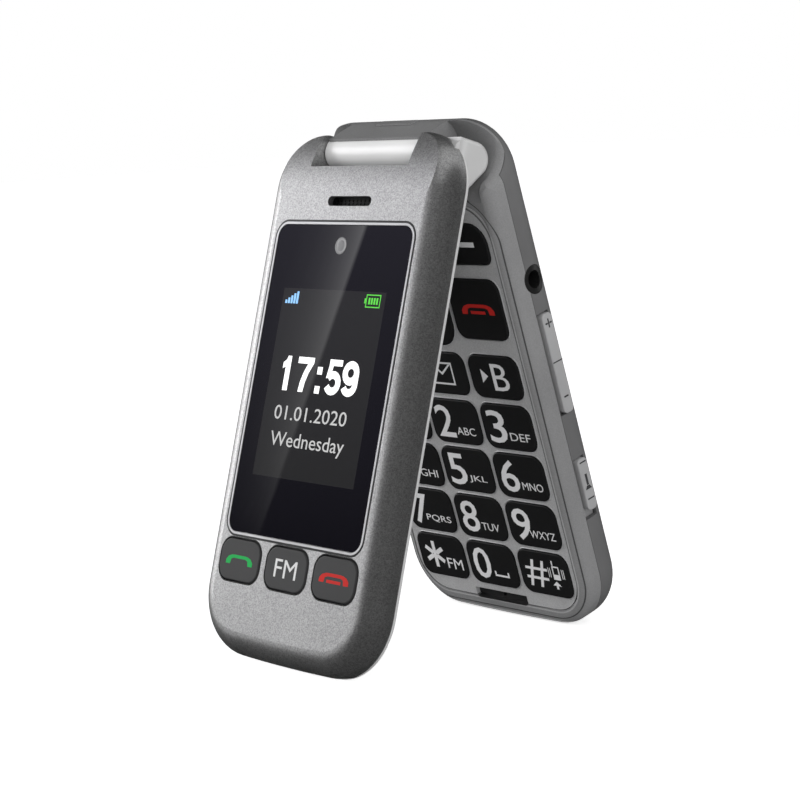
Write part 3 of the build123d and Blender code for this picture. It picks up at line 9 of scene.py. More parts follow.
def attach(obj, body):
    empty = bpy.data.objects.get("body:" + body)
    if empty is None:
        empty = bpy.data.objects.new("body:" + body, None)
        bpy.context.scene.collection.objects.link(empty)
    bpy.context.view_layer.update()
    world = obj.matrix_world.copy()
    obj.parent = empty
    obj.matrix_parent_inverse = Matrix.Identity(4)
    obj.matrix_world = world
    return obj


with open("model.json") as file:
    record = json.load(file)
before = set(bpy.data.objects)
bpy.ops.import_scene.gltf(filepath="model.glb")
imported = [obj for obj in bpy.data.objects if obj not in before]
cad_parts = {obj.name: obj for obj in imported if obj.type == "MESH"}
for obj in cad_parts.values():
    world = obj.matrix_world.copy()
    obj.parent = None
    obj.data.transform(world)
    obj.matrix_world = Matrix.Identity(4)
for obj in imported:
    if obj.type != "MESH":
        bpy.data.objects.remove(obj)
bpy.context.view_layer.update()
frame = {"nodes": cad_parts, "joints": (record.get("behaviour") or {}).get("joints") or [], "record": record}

# ---- Stand of the phone ------------------------------------------------------------------
# Hinged at the top, the two halves stand like a tent on their free ends.  Both are measured
# from the hinge axis in mm: u along it, v towards the free end, and w out of the face, which
# is the lid's outer side and the keypad.

MM = 0.001
hinge = next(joint for joint in frame["joints"] if joint["name"] == "lid_hinge")
HINGE_POINT = Vector(hinge["pos_m"])
press = {joint["child"]: Vector(joint["axis"]) for joint in frame["joints"]}
LID_OUT = -press["lid_call_key"]
BASE_OUT = -press["digit_5_key"]


def half_matrix(out):
    """Matrix from a half's own (u, -v, w) in millimetres to the scene."""
    across = Vector((1, 0, 0))
    up = out.cross(across)
    axes = Matrix((across, up, out)).transposed().to_4x4()
    return Matrix.Translation(HINGE_POINT) @ axes @ Matrix.Scale(MM, 4)


LID = half_matrix(LID_OUT)
BASE = half_matrix(BASE_OUT)

# ---- Camera ------------------------------------------------------------------------------
# A long lens a little above the phone's middle, on its right, where the keypad shows
# between the two halves.

scene = bpy.context.scene
scene.view_settings.view_transform = "Standard"

EYE_PLACE = Vector((0.34057, -0.29132581, 0.1101019))
eye = bpy.data.cameras.new("eye")
eye.lens = 100.33
eye.sensor_width = 36.0
eye.clip_start = 0.05
eye_object = bpy.data.objects.new("eye", eye)
scene.collection.objects.link(eye_object)
right = Vector((0.65323534, 0.75545984, -0.0506361))
top = Vector((-0.06858066, 0.1256374, 0.98970295))
ahead = Vector((-0.75404263, 0.64303629, -0.13388072))
turn = Matrix((right, top, -ahead)).transposed().to_4x4()
eye_object.matrix_world = Matrix.Translation(EYE_PLACE) @ turn
scene.camera = eye_object

# ---- Studio ------------------------------------------------------------------------------
# White paper floor under a white sky, a soft box level with the lid on the left and a large
# matt one on the right, dark flags round them, and a card with a soft bright band that the
# front window mirrors.

SKY_LIGHT = 0.45
FLOOR_HALF = 3.0
FLOOR_LIFT = 0.7


def calculated(tree, operation, *values):
    """Result of a math node whose values are numbers or sockets."""
    step = tree.nodes.new("ShaderNodeMath")
    step.operation = operation
    for socket, value in zip(step.inputs, values):
        if isinstance(value, (int, float)):
            socket.default_value = value
        else:
            tree.links.new(value, socket)
    return step.outputs[0]


def seen_ray(tree):
    """1 for camera, glossy and transmission rays, else 0."""
    path = tree.nodes.new("ShaderNodeLightPath")
    direct = calculated(tree, "MAXIMUM", path.outputs["Is Camera Ray"], path.outputs["Is Glossy Ray"])
    return calculated(tree, "MAXIMUM", direct, path.outputs["Is Transmission Ray"])


sky = bpy.data.worlds.new("studio")
scene.world = sky
sky.use_nodes = True
tree = sky.node_tree
tree.nodes.clear()
strength = tree.nodes.new("ShaderNodeMapRange")
strength.inputs["To Min"].default_value = SKY_LIGHT
strength.inputs["To Max"].default_value = 1.0
tree.links.new(seen_ray(tree), strength.inputs["Value"])
glow = tree.nodes.new("ShaderNodeBackground")
glow.inputs["Color"].default_value = (1, 1, 1, 1)
tree.links.new(strength.outputs["Result"], glow.inputs["Strength"])
world_out = tree.nodes.new("ShaderNodeOutputWorld")
tree.links.new(glow.outputs[0], world_out.inputs["Surface"])


PHONE_MIDDLE = Vector((0, 0, 0.05))


def lamp(name, place, size, watts):
    """Square soft box that is turned to the phone."""
    light = bpy.data.lights.new(name, "AREA")
    light.size = size
    light.energy = watts
    box = bpy.data.objects.new(name, light)
    scene.collection.objects.link(box)
    look = PHONE_MIDDLE - Vector(place)
    box.matrix_world = Matrix.Translation(place) @ look.to_track_quat("-Z", "Y").to_matrix().to_4x4()
    return box


lamp("lamp_left", (-0.84, -0.5, 0.3), size=0.45, watts=4.2)
lamp("lamp_right", (0.85, -0.3, 0.35), size=0.8, watts=5).visible_glossy = False


def stage_sheet(name, corners):
    """Flat sheet of the studio through four corners."""
    mesh = bpy.data.meshes.new(name)
    mesh.from_pydata([tuple(corner) for corner in corners], [], [(0, 1, 2, 3)])
    sheet = bpy.data.objects.new(name, mesh)
    scene.collection.objects.link(sheet)
    return sheet


paper = bpy.data.materials.new("paper")
paper.use_nodes = True
tree = paper.node_tree
shader = tree.nodes["Principled BSDF"]
shader.inputs["Base Color"].default_value = (0.92, 0.92, 0.92, 1)
shader.inputs["Roughness"].default_value = 0.9
shader.inputs["Emission Color"].default_value = (1, 1, 1, 1)
lift = calculated(tree, "MULTIPLY", seen_ray(tree), FLOOR_LIFT)
tree.links.new(lift, shader.inputs["Emission Strength"])
floor_corners = [(x * FLOOR_HALF, y * FLOOR_HALF, 0) for x, y in ((-1, -1), (1, -1), (1, 1), (-1, 1))]
floor = stage_sheet("floor", floor_corners)
floor.data.materials.append(paper)

flag_black = bpy.data.materials.new("flag_black")
flag_black.use_nodes = True
shader = flag_black.node_tree.nodes["Principled BSDF"]
shader.inputs["Base Color"].default_value = (0.02, 0.02, 0.02, 1)
shader.inputs["Roughness"].default_value = 1.0
FLAGS = {
    "flag_right": [(0.6, -1.2, -0.05), (0.6, 1.2, -0.05), (0.6, 1.2, 0.9), (0.6, -1.2, 0.9)],
    "flag_front": [(-0.5, -1.2, -0.05), (0.6, -1.2, -0.05), (0.6, -1.2, 0.9), (-0.5, -1.2, 0.9)],
    "flag_low": [(-1.2, -1.2, 0.001), (0.9, -1.2, 0.001), (0.9, 1.2, 0.001), (-1.2, 1.2, 0.001)],
    "flag_high": [(-1.1, -1.1, 0.62), (0.1, -1.1, 1.1), (0.1, 1.2, 1.1), (-1.1, 1.2, 0.62)],
    "flag_back": [(-1.1, 0.2, -0.05), (-1.1, 1.2, -0.05), (-1.1, 1.2, 0.62), (-1.1, 0.2, 0.62)],
    "flag_far": [(-1.1, 1.2, -0.05), (0.1, 1.2, -0.05), (0.1, 1.2, 1.1), (-1.1, 1.2, 0.62)],
}
for name, corners in FLAGS.items():
    flag = stage_sheet(name, corners)
    flag.data.materials.append(flag_black)
    flag.visible_camera = False
    flag.visible_shadow = False
    flag.visible_diffuse = False

# the card is laid out as its mirror image on the window, then thrown back behind it
BAND_REACH = 2.3
GLASS_TOP_W = 6.85
glass_point = LID @ Vector((0, 0, GLASS_TOP_W))
MIRRORED_EYE = EYE_PLACE - 2 * (EYE_PLACE - glass_point).dot(LID_OUT) * LID_OUT


def thrown(u, v):
    """Place of the card that is mirrored at (u, v) of the window."""
    spot = LID @ Vector((u, -v, GLASS_TOP_W))
    return MIRRORED_EYE + (spot - MIRRORED_EYE) * BAND_REACH


# the band's sharp edge runs down the window from BAND_TOP, and its light fades across it;
# the card is laid out in mm, and its steps are finer where the light changes
BAND_TOP = (5.74, 16.67)
BAND_SLOPE = -0.263
BAND_FADE = 6.5
BAND_START = -5
BAND_RISE = 15
BAND_FALL = 75
BAND_LIGHT = 1.6
CARD_FALL = 85
CARD_LEAST = 0.08
CARD_LIGHT = 0.3
CARD_TINT = (0.95, 0.91, 1.2)
CARD_STEPS = [-70, -1.2, 0, 2, 4, 7, 10, 14, 20, 30, 80]
CARD_ROWS = [-60 + 10 * row for row in range(22)]
card_mesh = bpy.data.meshes.new("mirror_card")
spots, lights, quads = [], [], []
for v in CARD_ROWS:
    edge = BAND_TOP[0] + BAND_SLOPE * (v - BAND_TOP[1])
    band = max(0.0, min(1.0, 1.1 - v / BAND_FALL, (v - BAND_START) / BAND_RISE))
    dim = CARD_LIGHT * max(CARD_LEAST, min(1.0, 1.1 - v / CARD_FALL))
    for step in CARD_STEPS:
        spots.append(tuple(thrown(edge - step, v)))
        fade = math.exp(-step / BAND_FADE) * band if step >= 0 else 0.0
        lights += [dim * tint + BAND_LIGHT * fade for tint in CARD_TINT] + [1.0]
for row in range(len(CARD_ROWS) - 1):
    for column in range(len(CARD_STEPS) - 1):
        first = row * len(CARD_STEPS) + column
        second = first + len(CARD_STEPS)
        quads.append((first, first + 1, second + 1, second))
card_mesh.from_pydata(spots, [], quads)
level = card_mesh.attributes.new("level", "FLOAT_COLOR", "POINT")
level.data.foreach_set("color", lights)
card_glow = bpy.data.materials.new("card_glow")
card_glow.use_nodes = True
tree = card_glow.node_tree
tree.nodes.clear()
read = tree.nodes.new("ShaderNodeAttribute")
read.attribute_name = "level"
shine = tree.nodes.new("ShaderNodeEmission")
tree.links.new(read.outputs["Color"], shine.inputs["Color"])
card_out = tree.nodes.new("ShaderNodeOutputMaterial")
tree.links.new(shine.outputs[0], card_out.inputs["Surface"])
card_mesh.materials.append(card_glow)
card = bpy.data.objects.new("mirror_card", card_mesh)
scene.collection.objects.link(card)
card.visible_camera = False
card.visible_diffuse = False
card.visible_shadow = False

# ---- Lid shell ---------------------------------------------------------------------------
# Moulded outer half of the lid, sprayed with a mid-grey paint full of fine metal flakes.
# The silver inner frame closes on it and shows as a thin lip along the sides.


def group(name, inputs, outputs):
    """Empty shader group with named number inputs and outputs."""
    made = bpy.data.node_groups.new(name, "ShaderNodeTree")
    for label, value in inputs.items():
        socket = made.interface.new_socket(label, in_out="INPUT", socket_type="NodeSocketFloat")
        socket.default_value = value
    for label in outputs:
        made.interface.new_socket(label, in_out="OUTPUT", socket_type="NodeSocketFloat")
    return made, made.nodes.new("NodeGroupInput"), made.nodes.new("NodeGroupOutput")


# moulded grain: a fine bump, and a slow drift of the tone
moulded_grain, given, sent = group(
    "moulded_grain", {"Grain": 4000.0, "Drift": 90.0, "Spread": 0.1}, ["Height", "Tone"]
)
place = moulded_grain.nodes.new("ShaderNodeTexCoord")
fine = moulded_grain.nodes.new("ShaderNodeTexNoise")
fine.inputs["Detail"].default_value = 3.0
slow = moulded_grain.nodes.new("ShaderNodeTexNoise")
slow.inputs["Detail"].default_value = 2.0
drift = moulded_grain.nodes.new("ShaderNodeMapRange")
drift.inputs["From Min"].default_value = 0.3
drift.inputs["From Max"].default_value = 0.7
low = calculated(moulded_grain, "SUBTRACT", 1.0, given.outputs["Spread"])
high = calculated(moulded_grain, "ADD", 1.0, given.outputs["Spread"])
links = moulded_grain.links
links.new(place.outputs["Object"], fine.inputs["Vector"])
links.new(place.outputs["Object"], slow.inputs["Vector"])
links.new(given.outputs["Grain"], fine.inputs["Scale"])
links.new(given.outputs["Drift"], slow.inputs["Scale"])
links.new(slow.outputs["Fac"], drift.inputs["Value"])
links.new(low, drift.inputs["To Min"])
links.new(high, drift.inputs["To Max"])
links.new(fine.outputs["Fac"], sent.inputs["Height"])
links.new(drift.outputs["Result"], sent.inputs["Tone"])

# metal flakes: each flake has its own brightness and tilt
metal_flakes, given, sent = group("metal_flakes", {"Flakes": 3500.0, "Spread": 0.3}, ["Height", "Tone"])
place = metal_flakes.nodes.new("ShaderNodeTexCoord")
cells = metal_flakes.nodes.new("ShaderNodeTexVoronoi")
split = metal_flakes.nodes.new("ShaderNodeSeparateColor")
spread = metal_flakes.nodes.new("ShaderNodeMapRange")
low = calculated(metal_flakes, "SUBTRACT", 1.0, given.outputs["Spread"])
high = calculated(metal_flakes, "ADD", 1.0, given.outputs["Spread"])
links = metal_flakes.links
links.new(place.outputs["Object"], cells.inputs["Vector"])
links.new(given.outputs["Flakes"], cells.inputs["Scale"])
links.new(cells.outputs["Color"], split.inputs["Color"])
links.new(split.outputs["Red"], spread.inputs["Value"])
links.new(low, spread.inputs["To Min"])
links.new(high, spread.inputs["To Max"])
links.new(spread.outputs["Result"], sent.inputs["Tone"])
links.new(split.outputs["Green"], sent.inputs["Height"])


def toned(tree, colour, tones):
    """Colour multiplied by each tone in turn."""
    made = None
    for tone in tones:
        mix = tree.nodes.new("ShaderNodeVectorMath")
        mix.operation = "SCALE"
        if made is None:
            mix.inputs[0].default_value = colour
        else:
            tree.links.new(made, mix.inputs[0])
        tree.links.new(tone, mix.inputs["Scale"])
        made = mix.outputs[0]
    return made


def finish(
    name, colour, roughness, metallic=0.0, grain=4000.0, spread=0.08, bump=0.15, flakes=None, shine=0.5
):
    """Material with moulded grain and, where given, metal flakes."""
    material = bpy.data.materials.new(name)
    material.use_nodes = True
    tree = material.node_tree
    shader = tree.nodes["Principled BSDF"]
    shader.inputs["Metallic"].default_value = metallic
    shader.inputs["Specular IOR Level"].default_value = shine
    moulded = tree.nodes.new("ShaderNodeGroup")
    moulded.node_tree = moulded_grain
    moulded.inputs["Grain"].default_value = grain
    moulded.inputs["Spread"].default_value = spread
    tones = [moulded.outputs["Tone"]]
    height = moulded.outputs["Height"]
    if flakes:
        sparkle = tree.nodes.new("ShaderNodeGroup")
        sparkle.node_tree = metal_flakes
        sparkle.inputs["Flakes"].default_value = flakes[0]
        sparkle.inputs["Spread"].default_value = flakes[1]
        tones.append(sparkle.outputs["Tone"])
        height = sparkle.outputs["Height"]
    tree.links.new(toned(tree, colour, tones), shader.inputs["Base Color"])
    tree.links.new(calculated(tree, "MULTIPLY", tones[0], roughness), shader.inputs["Roughness"])
    relief = tree.nodes.new("ShaderNodeBump")
    relief.inputs["Strength"].default_value = bump
    relief.inputs["Distance"].default_value = 0.02 * MM
    tree.links.new(height, relief.inputs["Height"])
    tree.links.new(relief.outputs["Normal"], shader.inputs["Normal"])
    return material


# distance in millimetres from a rounded rectangle drawn on one half of the phone
rounded_line = bpy.data.node_groups.new("rounded_line", "ShaderNodeTree")
rounded_line.interface.new_socket("Up", in_out="INPUT", socket_type="NodeSocketVector")
for label in ("Start", "Aside", "Middle", "Half U", "Half V", "Radius"):
    rounded_line.interface.new_socket(label, in_out="INPUT", socket_type="NodeSocketFloat")
rounded_line.interface.new_socket("Distance", in_out="OUTPUT", socket_type="NodeSocketFloat")
given = rounded_line.nodes.new("NodeGroupInput")
sent = rounded_line.nodes.new("NodeGroupOutput")
place = rounded_line.nodes.new("ShaderNodeTexCoord")
reach = []
for axis, start, middle, half in (
    ((1, 0, 0), HINGE_POINT.x, given.outputs["Aside"], "Half U"),
    (given.outputs["Up"], given.outputs["Start"], given.outputs["Middle"], "Half V"),
):
    along = rounded_line.nodes.new("ShaderNodeVectorMath")
    along.operation = "DOT_PRODUCT"
    rounded_line.links.new(place.outputs["Object"], along.inputs[0])
    if isinstance(axis, tuple):
        along.inputs[1].default_value = axis
    else:
        rounded_line.links.new(axis, along.inputs[1])
    run = calculated(rounded_line, "SUBTRACT", along.outputs["Value"], start)
    run = calculated(rounded_line, "DIVIDE", run, MM)
    run = calculated(rounded_line, "ADD", run, middle)
    run = calculated(rounded_line, "ABSOLUTE", run)
    flat = calculated(rounded_line, "SUBTRACT", given.outputs[half], given.outputs["Radius"])
    run = calculated(rounded_line, "MAXIMUM", calculated(rounded_line, "SUBTRACT", run, flat), 0.0)
    reach.append(calculated(rounded_line, "MULTIPLY", run, run))
length = calculated(rounded_line, "SQRT", calculated(rounded_line, "ADD", *reach))
outside = calculated(rounded_line, "SUBTRACT", length, given.outputs["Radius"])
rounded_line.links.new(outside, sent.inputs["Distance"])


def line_distance(tree, out, half_u, v_range, radius, aside=0.0):
    """Distance socket from a rounded rectangle on the half that faces out."""
    up = out.cross(Vector((1, 0, 0)))
    line = tree.nodes.new("ShaderNodeGroup")
    line.node_tree = rounded_line
    line.inputs["Up"].default_value = up
    line.inputs["Start"].default_value = HINGE_POINT.dot(up)
    line.inputs["Aside"].default_value = -aside
    line.inputs["Middle"].default_value = (v_range[0] + v_range[1]) / 2
    line.inputs["Half U"].default_value = half_u
    line.inputs["Half V"].default_value = (v_range[1] - v_range[0]) / 2
    line.inputs["Radius"].default_value = radius
    return line.outputs["Distance"]


def draw_line(material, distance, middle, half, tone):
    """Multiplies a material's colour by a tone along one distance from a line."""
    tree = material.node_tree
    socket = tree.nodes["Principled BSDF"].inputs["Base Color"]
    level = tree.nodes.new("ShaderNodeMapRange")
    level.inputs["To Min"].default_value = 1.0
    level.inputs["To Max"].default_value = tone
    tree.links.new(calculated(tree, "COMPARE", distance, middle, half), level.inputs["Value"])
    mix = tree.nodes.new("ShaderNodeVectorMath")
    mix.operation = "SCALE"
    tree.links.new(socket.links[0].from_socket, mix.inputs[0])
    tree.links.new(level.outputs["Result"], mix.inputs["Scale"])
    tree.links.new(mix.outputs[0], socket)


SLOT_OF = {part["node"]: part["material_slot"] for part in frame["record"]["subparts"]}


def dress(slot, material):
    """Gives a material to every node of a slot."""
    for name, node in frame["nodes"].items():
        if SLOT_OF[name] == slot:
            for held in node.material_slots:
                held.material = material


COLUMNS = (-1, 0, 1)
LID_KEY_V = 85.0
LID_KEY_PITCH = 15.0
LID_KEY_HALF = (6.4, 4.2)
LID_KEY_RADIUS = 2.9
lid_paint = finish(
    "lid_paint", (0.38, 0.38, 0.382), 0.4, metallic=0.88, spread=0.03, bump=0.2, flakes=(4900.0, 0.26)
)
# painted shade: a near-black ring drawn into the lid paint just outside each key, for the shade in the gap
# round the lid keys
for column in COLUMNS:
    reach = (LID_KEY_V - LID_KEY_HALF[1], LID_KEY_V + LID_KEY_HALF[1])
    aside = column * LID_KEY_PITCH
    well = line_distance(lid_paint.node_tree, LID_OUT, LID_KEY_HALF[0], reach, LID_KEY_RADIUS, aside)
    draw_line(lid_paint, well, middle=0.2, half=0.22, tone=0.06)
dress("lid_paint", lid_paint)
silver_frame = finish("silver_frame", (0.68, 0.68, 0.68), 0.4, metallic=0.25, spread=0.05, bump=0.3)
dress("silver_frame", silver_frame)

# ---- Front window ------------------------------------------------------------------------
# Black glass in a bright plated bead, with a small colour display and a round camera lens
# behind it.  The glass is opaque here, so the display's picture and the lens lie on it.

DISPLAY_HALF = 15.9
DISPLAY_TOP = 29.3
DISPLAY_END = 67.5
LENS_SPOT = (-0.3, 20.4)

glass_black = bpy.data.materials.new("glass_black")
glass_black.use_nodes = True
tree = glass_black.node_tree
shader = tree.nodes["Principled BSDF"]
shader.inputs["Roughness"].default_value = 0.0
shader.inputs["IOR"].default_value = 1.5
place = tree.nodes.new("ShaderNodeTexCoord")
inside = None
for axis, middle, half in (
    (Vector((1, 0, 0)), 0.0, DISPLAY_HALF),
    (LID_OUT.cross(Vector((1, 0, 0))), -(DISPLAY_TOP + DISPLAY_END) / 2, (DISPLAY_END - DISPLAY_TOP) / 2),
):
    along = tree.nodes.new("ShaderNodeVectorMath")
    along.operation = "DOT_PRODUCT"
    along.inputs[1].default_value = axis
    tree.links.new(place.outputs["Object"], along.inputs[0])
    centre = HINGE_POINT.dot(axis) + middle * MM
    near = calculated(tree, "COMPARE", along.outputs["Value"], centre, half * MM)
    inside = near if inside is None else calculated(tree, "MULTIPLY", inside, near)
panel = tree.nodes.new("ShaderNodeMix")
panel.data_type = "RGBA"
panel.inputs["A"].default_value = (0.005, 0.0047, 0.007, 1)
panel.inputs["B"].default_value = (0.023, 0.023, 0.023, 1)
tree.links.new(inside, panel.inputs["Factor"])
tree.links.new(panel.outputs["Result"], shader.inputs["Base Color"])
dress("window_black", glass_black)

GLASS_HALF = 20.7
GLASS_REACH = (16.3, 79.3)
GLASS_RADIUS = 2.6
bright_trim = finish("bright_trim", (0.5, 0.5, 0.51), 0.3, metallic=0.4, spread=0.05, bump=0.05)
bead = line_distance(bright_trim.node_tree, LID_OUT, GLASS_HALF, GLASS_REACH, GLASS_RADIUS)
# painted shade: a near-black line along the bead's outer part for the shade in the groove round it, and a
# dark line at its inner edge for the shade where it meets the glass
draw_line(bright_trim, bead, middle=0.88, half=0.27, tone=0.03)
draw_line(bright_trim, bead, middle=0.06, half=0.1, tone=0.2)
dress("bright_trim", bright_trim)


def prism(form, points, low, high):
    """Closed plate over an outline of (x, y) points."""
    under = [form.verts.new((x, y, low)) for x, y in points]
    over = [form.verts.new((x, y, high)) for x, y in points]
    form.faces.new(list(reversed(under)))
    form.faces.new(over)
    for first in range(len(points)):
        second = (first + 1) % len(points)
        form.faces.new((under[first], under[second], over[second], over[first]))


def box_plate(form, x_low, x_high, y_low, y_high, low, high):
    """Closed rectangular plate."""
    prism(form, [(x_low, y_low), (x_high, y_low), (x_high, y_high), (x_low, y_high)], low, high)


def letters(form, words, box, low, high, bold=0.0):
    """Closed letters fitted into a box (x low, x high, y low, y high)."""
    curve = bpy.data.curves.new("letters", "FONT")
    curve.body = words
    curve.offset = bold
    curve.extrude = 0.5
    curve.resolution_u = 3
    thing = bpy.data.objects.new("letters", curve)
    scene.collection.objects.link(thing)
    bpy.context.view_layer.update()
    mesh = bpy.data.meshes.new_from_object(thing)
    xs = [vertex.co.x for vertex in mesh.vertices]
    ys = [vertex.co.y for vertex in mesh.vertices]
    x_scale = (box[1] - box[0]) / (max(xs) - min(xs))
    y_scale = (box[3] - box[2]) / (max(ys) - min(ys))
    for vertex in mesh.vertices:
        x = box[0] + (vertex.co.x - min(xs)) * x_scale
        y = box[2] + (vertex.co.y - min(ys)) * y_scale
        vertex.co = (x, y, low + (vertex.co.z + 0.5) * (high - low))
    form.from_mesh(mesh)
    bpy.data.meshes.remove(mesh)
    bpy.data.objects.remove(thing)
    bpy.data.curves.remove(curve)


def make(name, form, half, spot, material, body):
    """Turns a form, drawn round a spot of a half in millimetres, into a finished piece."""
    bmesh.ops.remove_doubles(form, verts=form.verts, dist=0.0005)
    bmesh.ops.recalc_face_normals(form, faces=form.faces)
    form.transform(half @ Matrix.Translation((spot[0], -spot[1], 0)))
    mesh = bpy.data.meshes.new(name)
    form.to_mesh(mesh)
    form.free()
    mesh.materials.append(material)
    piece = bpy.data.objects.new(name, mesh)
    scene.collection.objects.link(piece)
    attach(piece, body)
    return piece


def lit(name, colour, strength=0.0):
    """Print or pixel colour with a faint tone, lit from behind where it is a display."""
    material = finish(name, colour, 0.45, spread=0.04, bump=0.05, shine=0.05)
    shader = material.node_tree.nodes["Principled BSDF"]
    shader.inputs["Emission Color"].default_value = (*colour, 1)
    shader.inputs["Emission Strength"].default_value = strength
    return material


def stroke(form, points, width, low, high):
    """Ribbon of one width along a run of points, with square ends and mitred corners."""
    path = [Vector(point) for point in points]
    left, right = [], []
    for step, spot in enumerate(path):
        before = (spot - path[step - 1]).normalized() if step else None
        after = (path[step + 1] - spot).normalized() if step < len(path) - 1 else None
        along = ((before or after) + (after or before)).normalized()
        side = Vector((-along.y, along.x))
        square = Vector((-(after or before).y, (after or before).x))
        reach = side * width / 2 / max(0.5, side.dot(square))
        left.append(tuple(spot + reach))
        right.append(tuple(spot - reach))
    prism(form, left + list(reversed(right)), low, high)


def arc(middle, radii, start, end, steps=14):
    """Points along an ellipse between two angles in degrees."""
    turns = [math.radians(start + (end - start) * step / steps) for step in range(steps + 1)]
    return [(middle[0] + radii[0] * math.cos(a), middle[1] + radii[1] * math.sin(a)) for a in turns]


pixel_white = lit("pixel_white", (0.85, 0.85, 0.85), 0.8)
pixel_grey = lit("pixel_grey", (0.45, 0.45, 0.45), 0.4)
pixel_blue = lit("pixel_blue", (0.25, 0.5, 0.85), 0.5)
pixel_green = lit("pixel_green", (0.1, 0.6, 0.06), 0.35)

PRINT = 0.02  # a print or a picture stands this far out of its face, and as far in
LAP = 0.004  # strokes that cross lie one on the other
PIXEL_LOW = GLASS_TOP_W - PRINT
PIXEL_HIGH = GLASS_TOP_W + PRINT
CLOCK_LINE = 1.5
CLOCK_FOOT = -50.0


def on_clock(points):
    """Outline of a clock sign, moved down to the clock's foot."""
    return [(x, CLOCK_FOOT + y) for x, y in points]


form = bmesh.new()
one = [(-9.6, 0), (-9.6, 7), (-10.7, 7), (-11.1, 6.2), (-12.0, 5.6), (-12.0, 4.4), (-11.1, 4.8), (-11.1, 0)]
seven = [(-7.3, 7), (-2.3, 7), (-2.3, 5.9), (-3.6, 3.8), (-4.3, 1.9), (-4.6, 0)]
seven += [(-6.1, 0), (-5.8, 2.0), (-5.1, 4.0), (-4.1, 5.7), (-7.3, 5.7)]
for sign in (one, seven):
    prism(form, on_clock(sign), PIXEL_LOW, PIXEL_HIGH)
for dot in (0.0, 3.8):
    box_plate(form, -0.9, 0.6, CLOCK_FOOT + dot, CLOCK_FOOT + dot + CLOCK_LINE, PIXEL_LOW, PIXEL_HIGH)
box_plate(form, 2.6, 6.5, CLOCK_FOOT + 5.75, CLOCK_FOOT + 7, PIXEL_LOW, PIXEL_HIGH)
stem = [(2.1, 3.2), (3.4, 3.4), (3.85, 5.9), (2.6, 5.9)]
prism(form, on_clock(stem), PIXEL_LOW - LAP, PIXEL_HIGH - LAP)
bowl = arc((4.25, 2.35), (1.75, 1.65), 145, -155)
stroke(form, on_clock(bowl), CLOCK_LINE, PIXEL_LOW + LAP, PIXEL_HIGH + LAP)
nine = arc((9.4, 4.6), (1.7, 1.65), -20, 335, 24)
stroke(form, on_clock(nine), CLOCK_LINE, PIXEL_LOW, PIXEL_HIGH)
tail = [(11.1, 4.6), (11.1, 3.1)] + arc((9.4, 2.4), (1.7, 1.65), 0, -155)
stroke(form, on_clock(tail), CLOCK_LINE, PIXEL_LOW + LAP, PIXEL_HIGH + LAP)
make("display_time", form, LID, (0, 0), pixel_white, "lid")
DATE_BOX = (-12.2, 10.4, -55.85, -53.0)
DAY_BOX = (-12.1, 11.0, -62.1, -58.3)
form = bmesh.new()
letters(form, "01.01.2020", DATE_BOX, PIXEL_LOW, PIXEL_HIGH)
make("display_date", form, LID, (0, 0), pixel_grey, "lid")
form = bmesh.new()
letters(form, "Wednesday", DAY_BOX, PIXEL_LOW, PIXEL_HIGH)
make("display_day", form, LID, (0, 0), pixel_grey, "lid")

SIGNAL_BARS = 5
SIGNAL_LEFT = -14.9
SIGNAL_FOOT = -32.4
SIGNAL_PITCH = 0.86
SIGNAL_WIDTH = 0.62
SIGNAL_LEAST = 0.7
SIGNAL_STEP = 0.45
form = bmesh.new()
for step in range(SIGNAL_BARS):
    left = SIGNAL_LEFT + SIGNAL_PITCH * step
    head = SIGNAL_FOOT + SIGNAL_LEAST + SIGNAL_STEP * step
    box_plate(form, left, left + SIGNAL_WIDTH, SIGNAL_FOOT, head, PIXEL_LOW, PIXEL_HIGH)
make("display_signal", form, LID, (0, 0), pixel_blue, "lid")

BATTERY_ICON = (10.2, 14.5, -32.4, -29.8)
BATTERY_LINE = 0.22
BATTERY_CAP = (0.45, 0.05)
CAP_INSET = 0.8
BATTERY_CELLS = 4
CELL_START = 0.75
CELL_PITCH = 0.78
CELL_WIDTH = 0.5
CELL_INSET = 0.65
left, far, foot, head = BATTERY_ICON
form = bmesh.new()
box_plate(form, left, far, foot, foot + BATTERY_LINE, PIXEL_LOW, PIXEL_HIGH)
box_plate(form, left, far, head - BATTERY_LINE, head, PIXEL_LOW, PIXEL_HIGH)
box_plate(form, left, left + BATTERY_LINE, foot + BATTERY_LINE, head - BATTERY_LINE, PIXEL_LOW, PIXEL_HIGH)
box_plate(form, far - BATTERY_LINE, far, foot + BATTERY_LINE, head - BATTERY_LINE, PIXEL_LOW, PIXEL_HIGH)
cap_left, cap_right = left - BATTERY_CAP[0], left - BATTERY_CAP[1]
box_plate(form, cap_left, cap_right, foot + CAP_INSET, head - CAP_INSET, PIXEL_LOW, PIXEL_HIGH)
for step in range(BATTERY_CELLS):
    start = left + CELL_START + CELL_PITCH * step
    box_plate(form, start, start + CELL_WIDTH, foot + CELL_INSET, head - CELL_INSET, PIXEL_LOW, PIXEL_HIGH)
make("display_battery", form, LID, (0, 0), pixel_green, "lid")


def turned(form, profile, steps=40):
    """Closed round form from a profile of (radius, height) that starts and ends on its axis."""
    rings = []
    for radius, height in profile:
        if radius == 0:
            rings.append([form.verts.new((0, 0, height))])
        else:
            angles = [2 * math.pi * step / steps for step in range(steps)]
            spots = [(radius * math.cos(a), radius * math.sin(a), height) for a in angles]
            rings.append([form.verts.new(spot) for spot in spots])
    for lower, upper in zip(rings, rings[1:]):
        for step in range(steps):
            after = (step + 1) % steps
            corners = [lower[step % len(lower)], lower[after % len(lower)]]
            corners += [upper[after % len(upper)], upper[step % len(upper)]]
            unique = list(dict.fromkeys(corners))
            if len(unique) > 2:
                form.faces.new(unique)


lens_ring = finish("lens_ring", (0.2, 0.2, 0.205), 0.4, metallic=0.2, spread=0.05, bump=0.1)
lens_dark = finish("lens_dark", (0.17, 0.17, 0.175), 0.25, metallic=0.1, spread=0.05, bump=0.02)
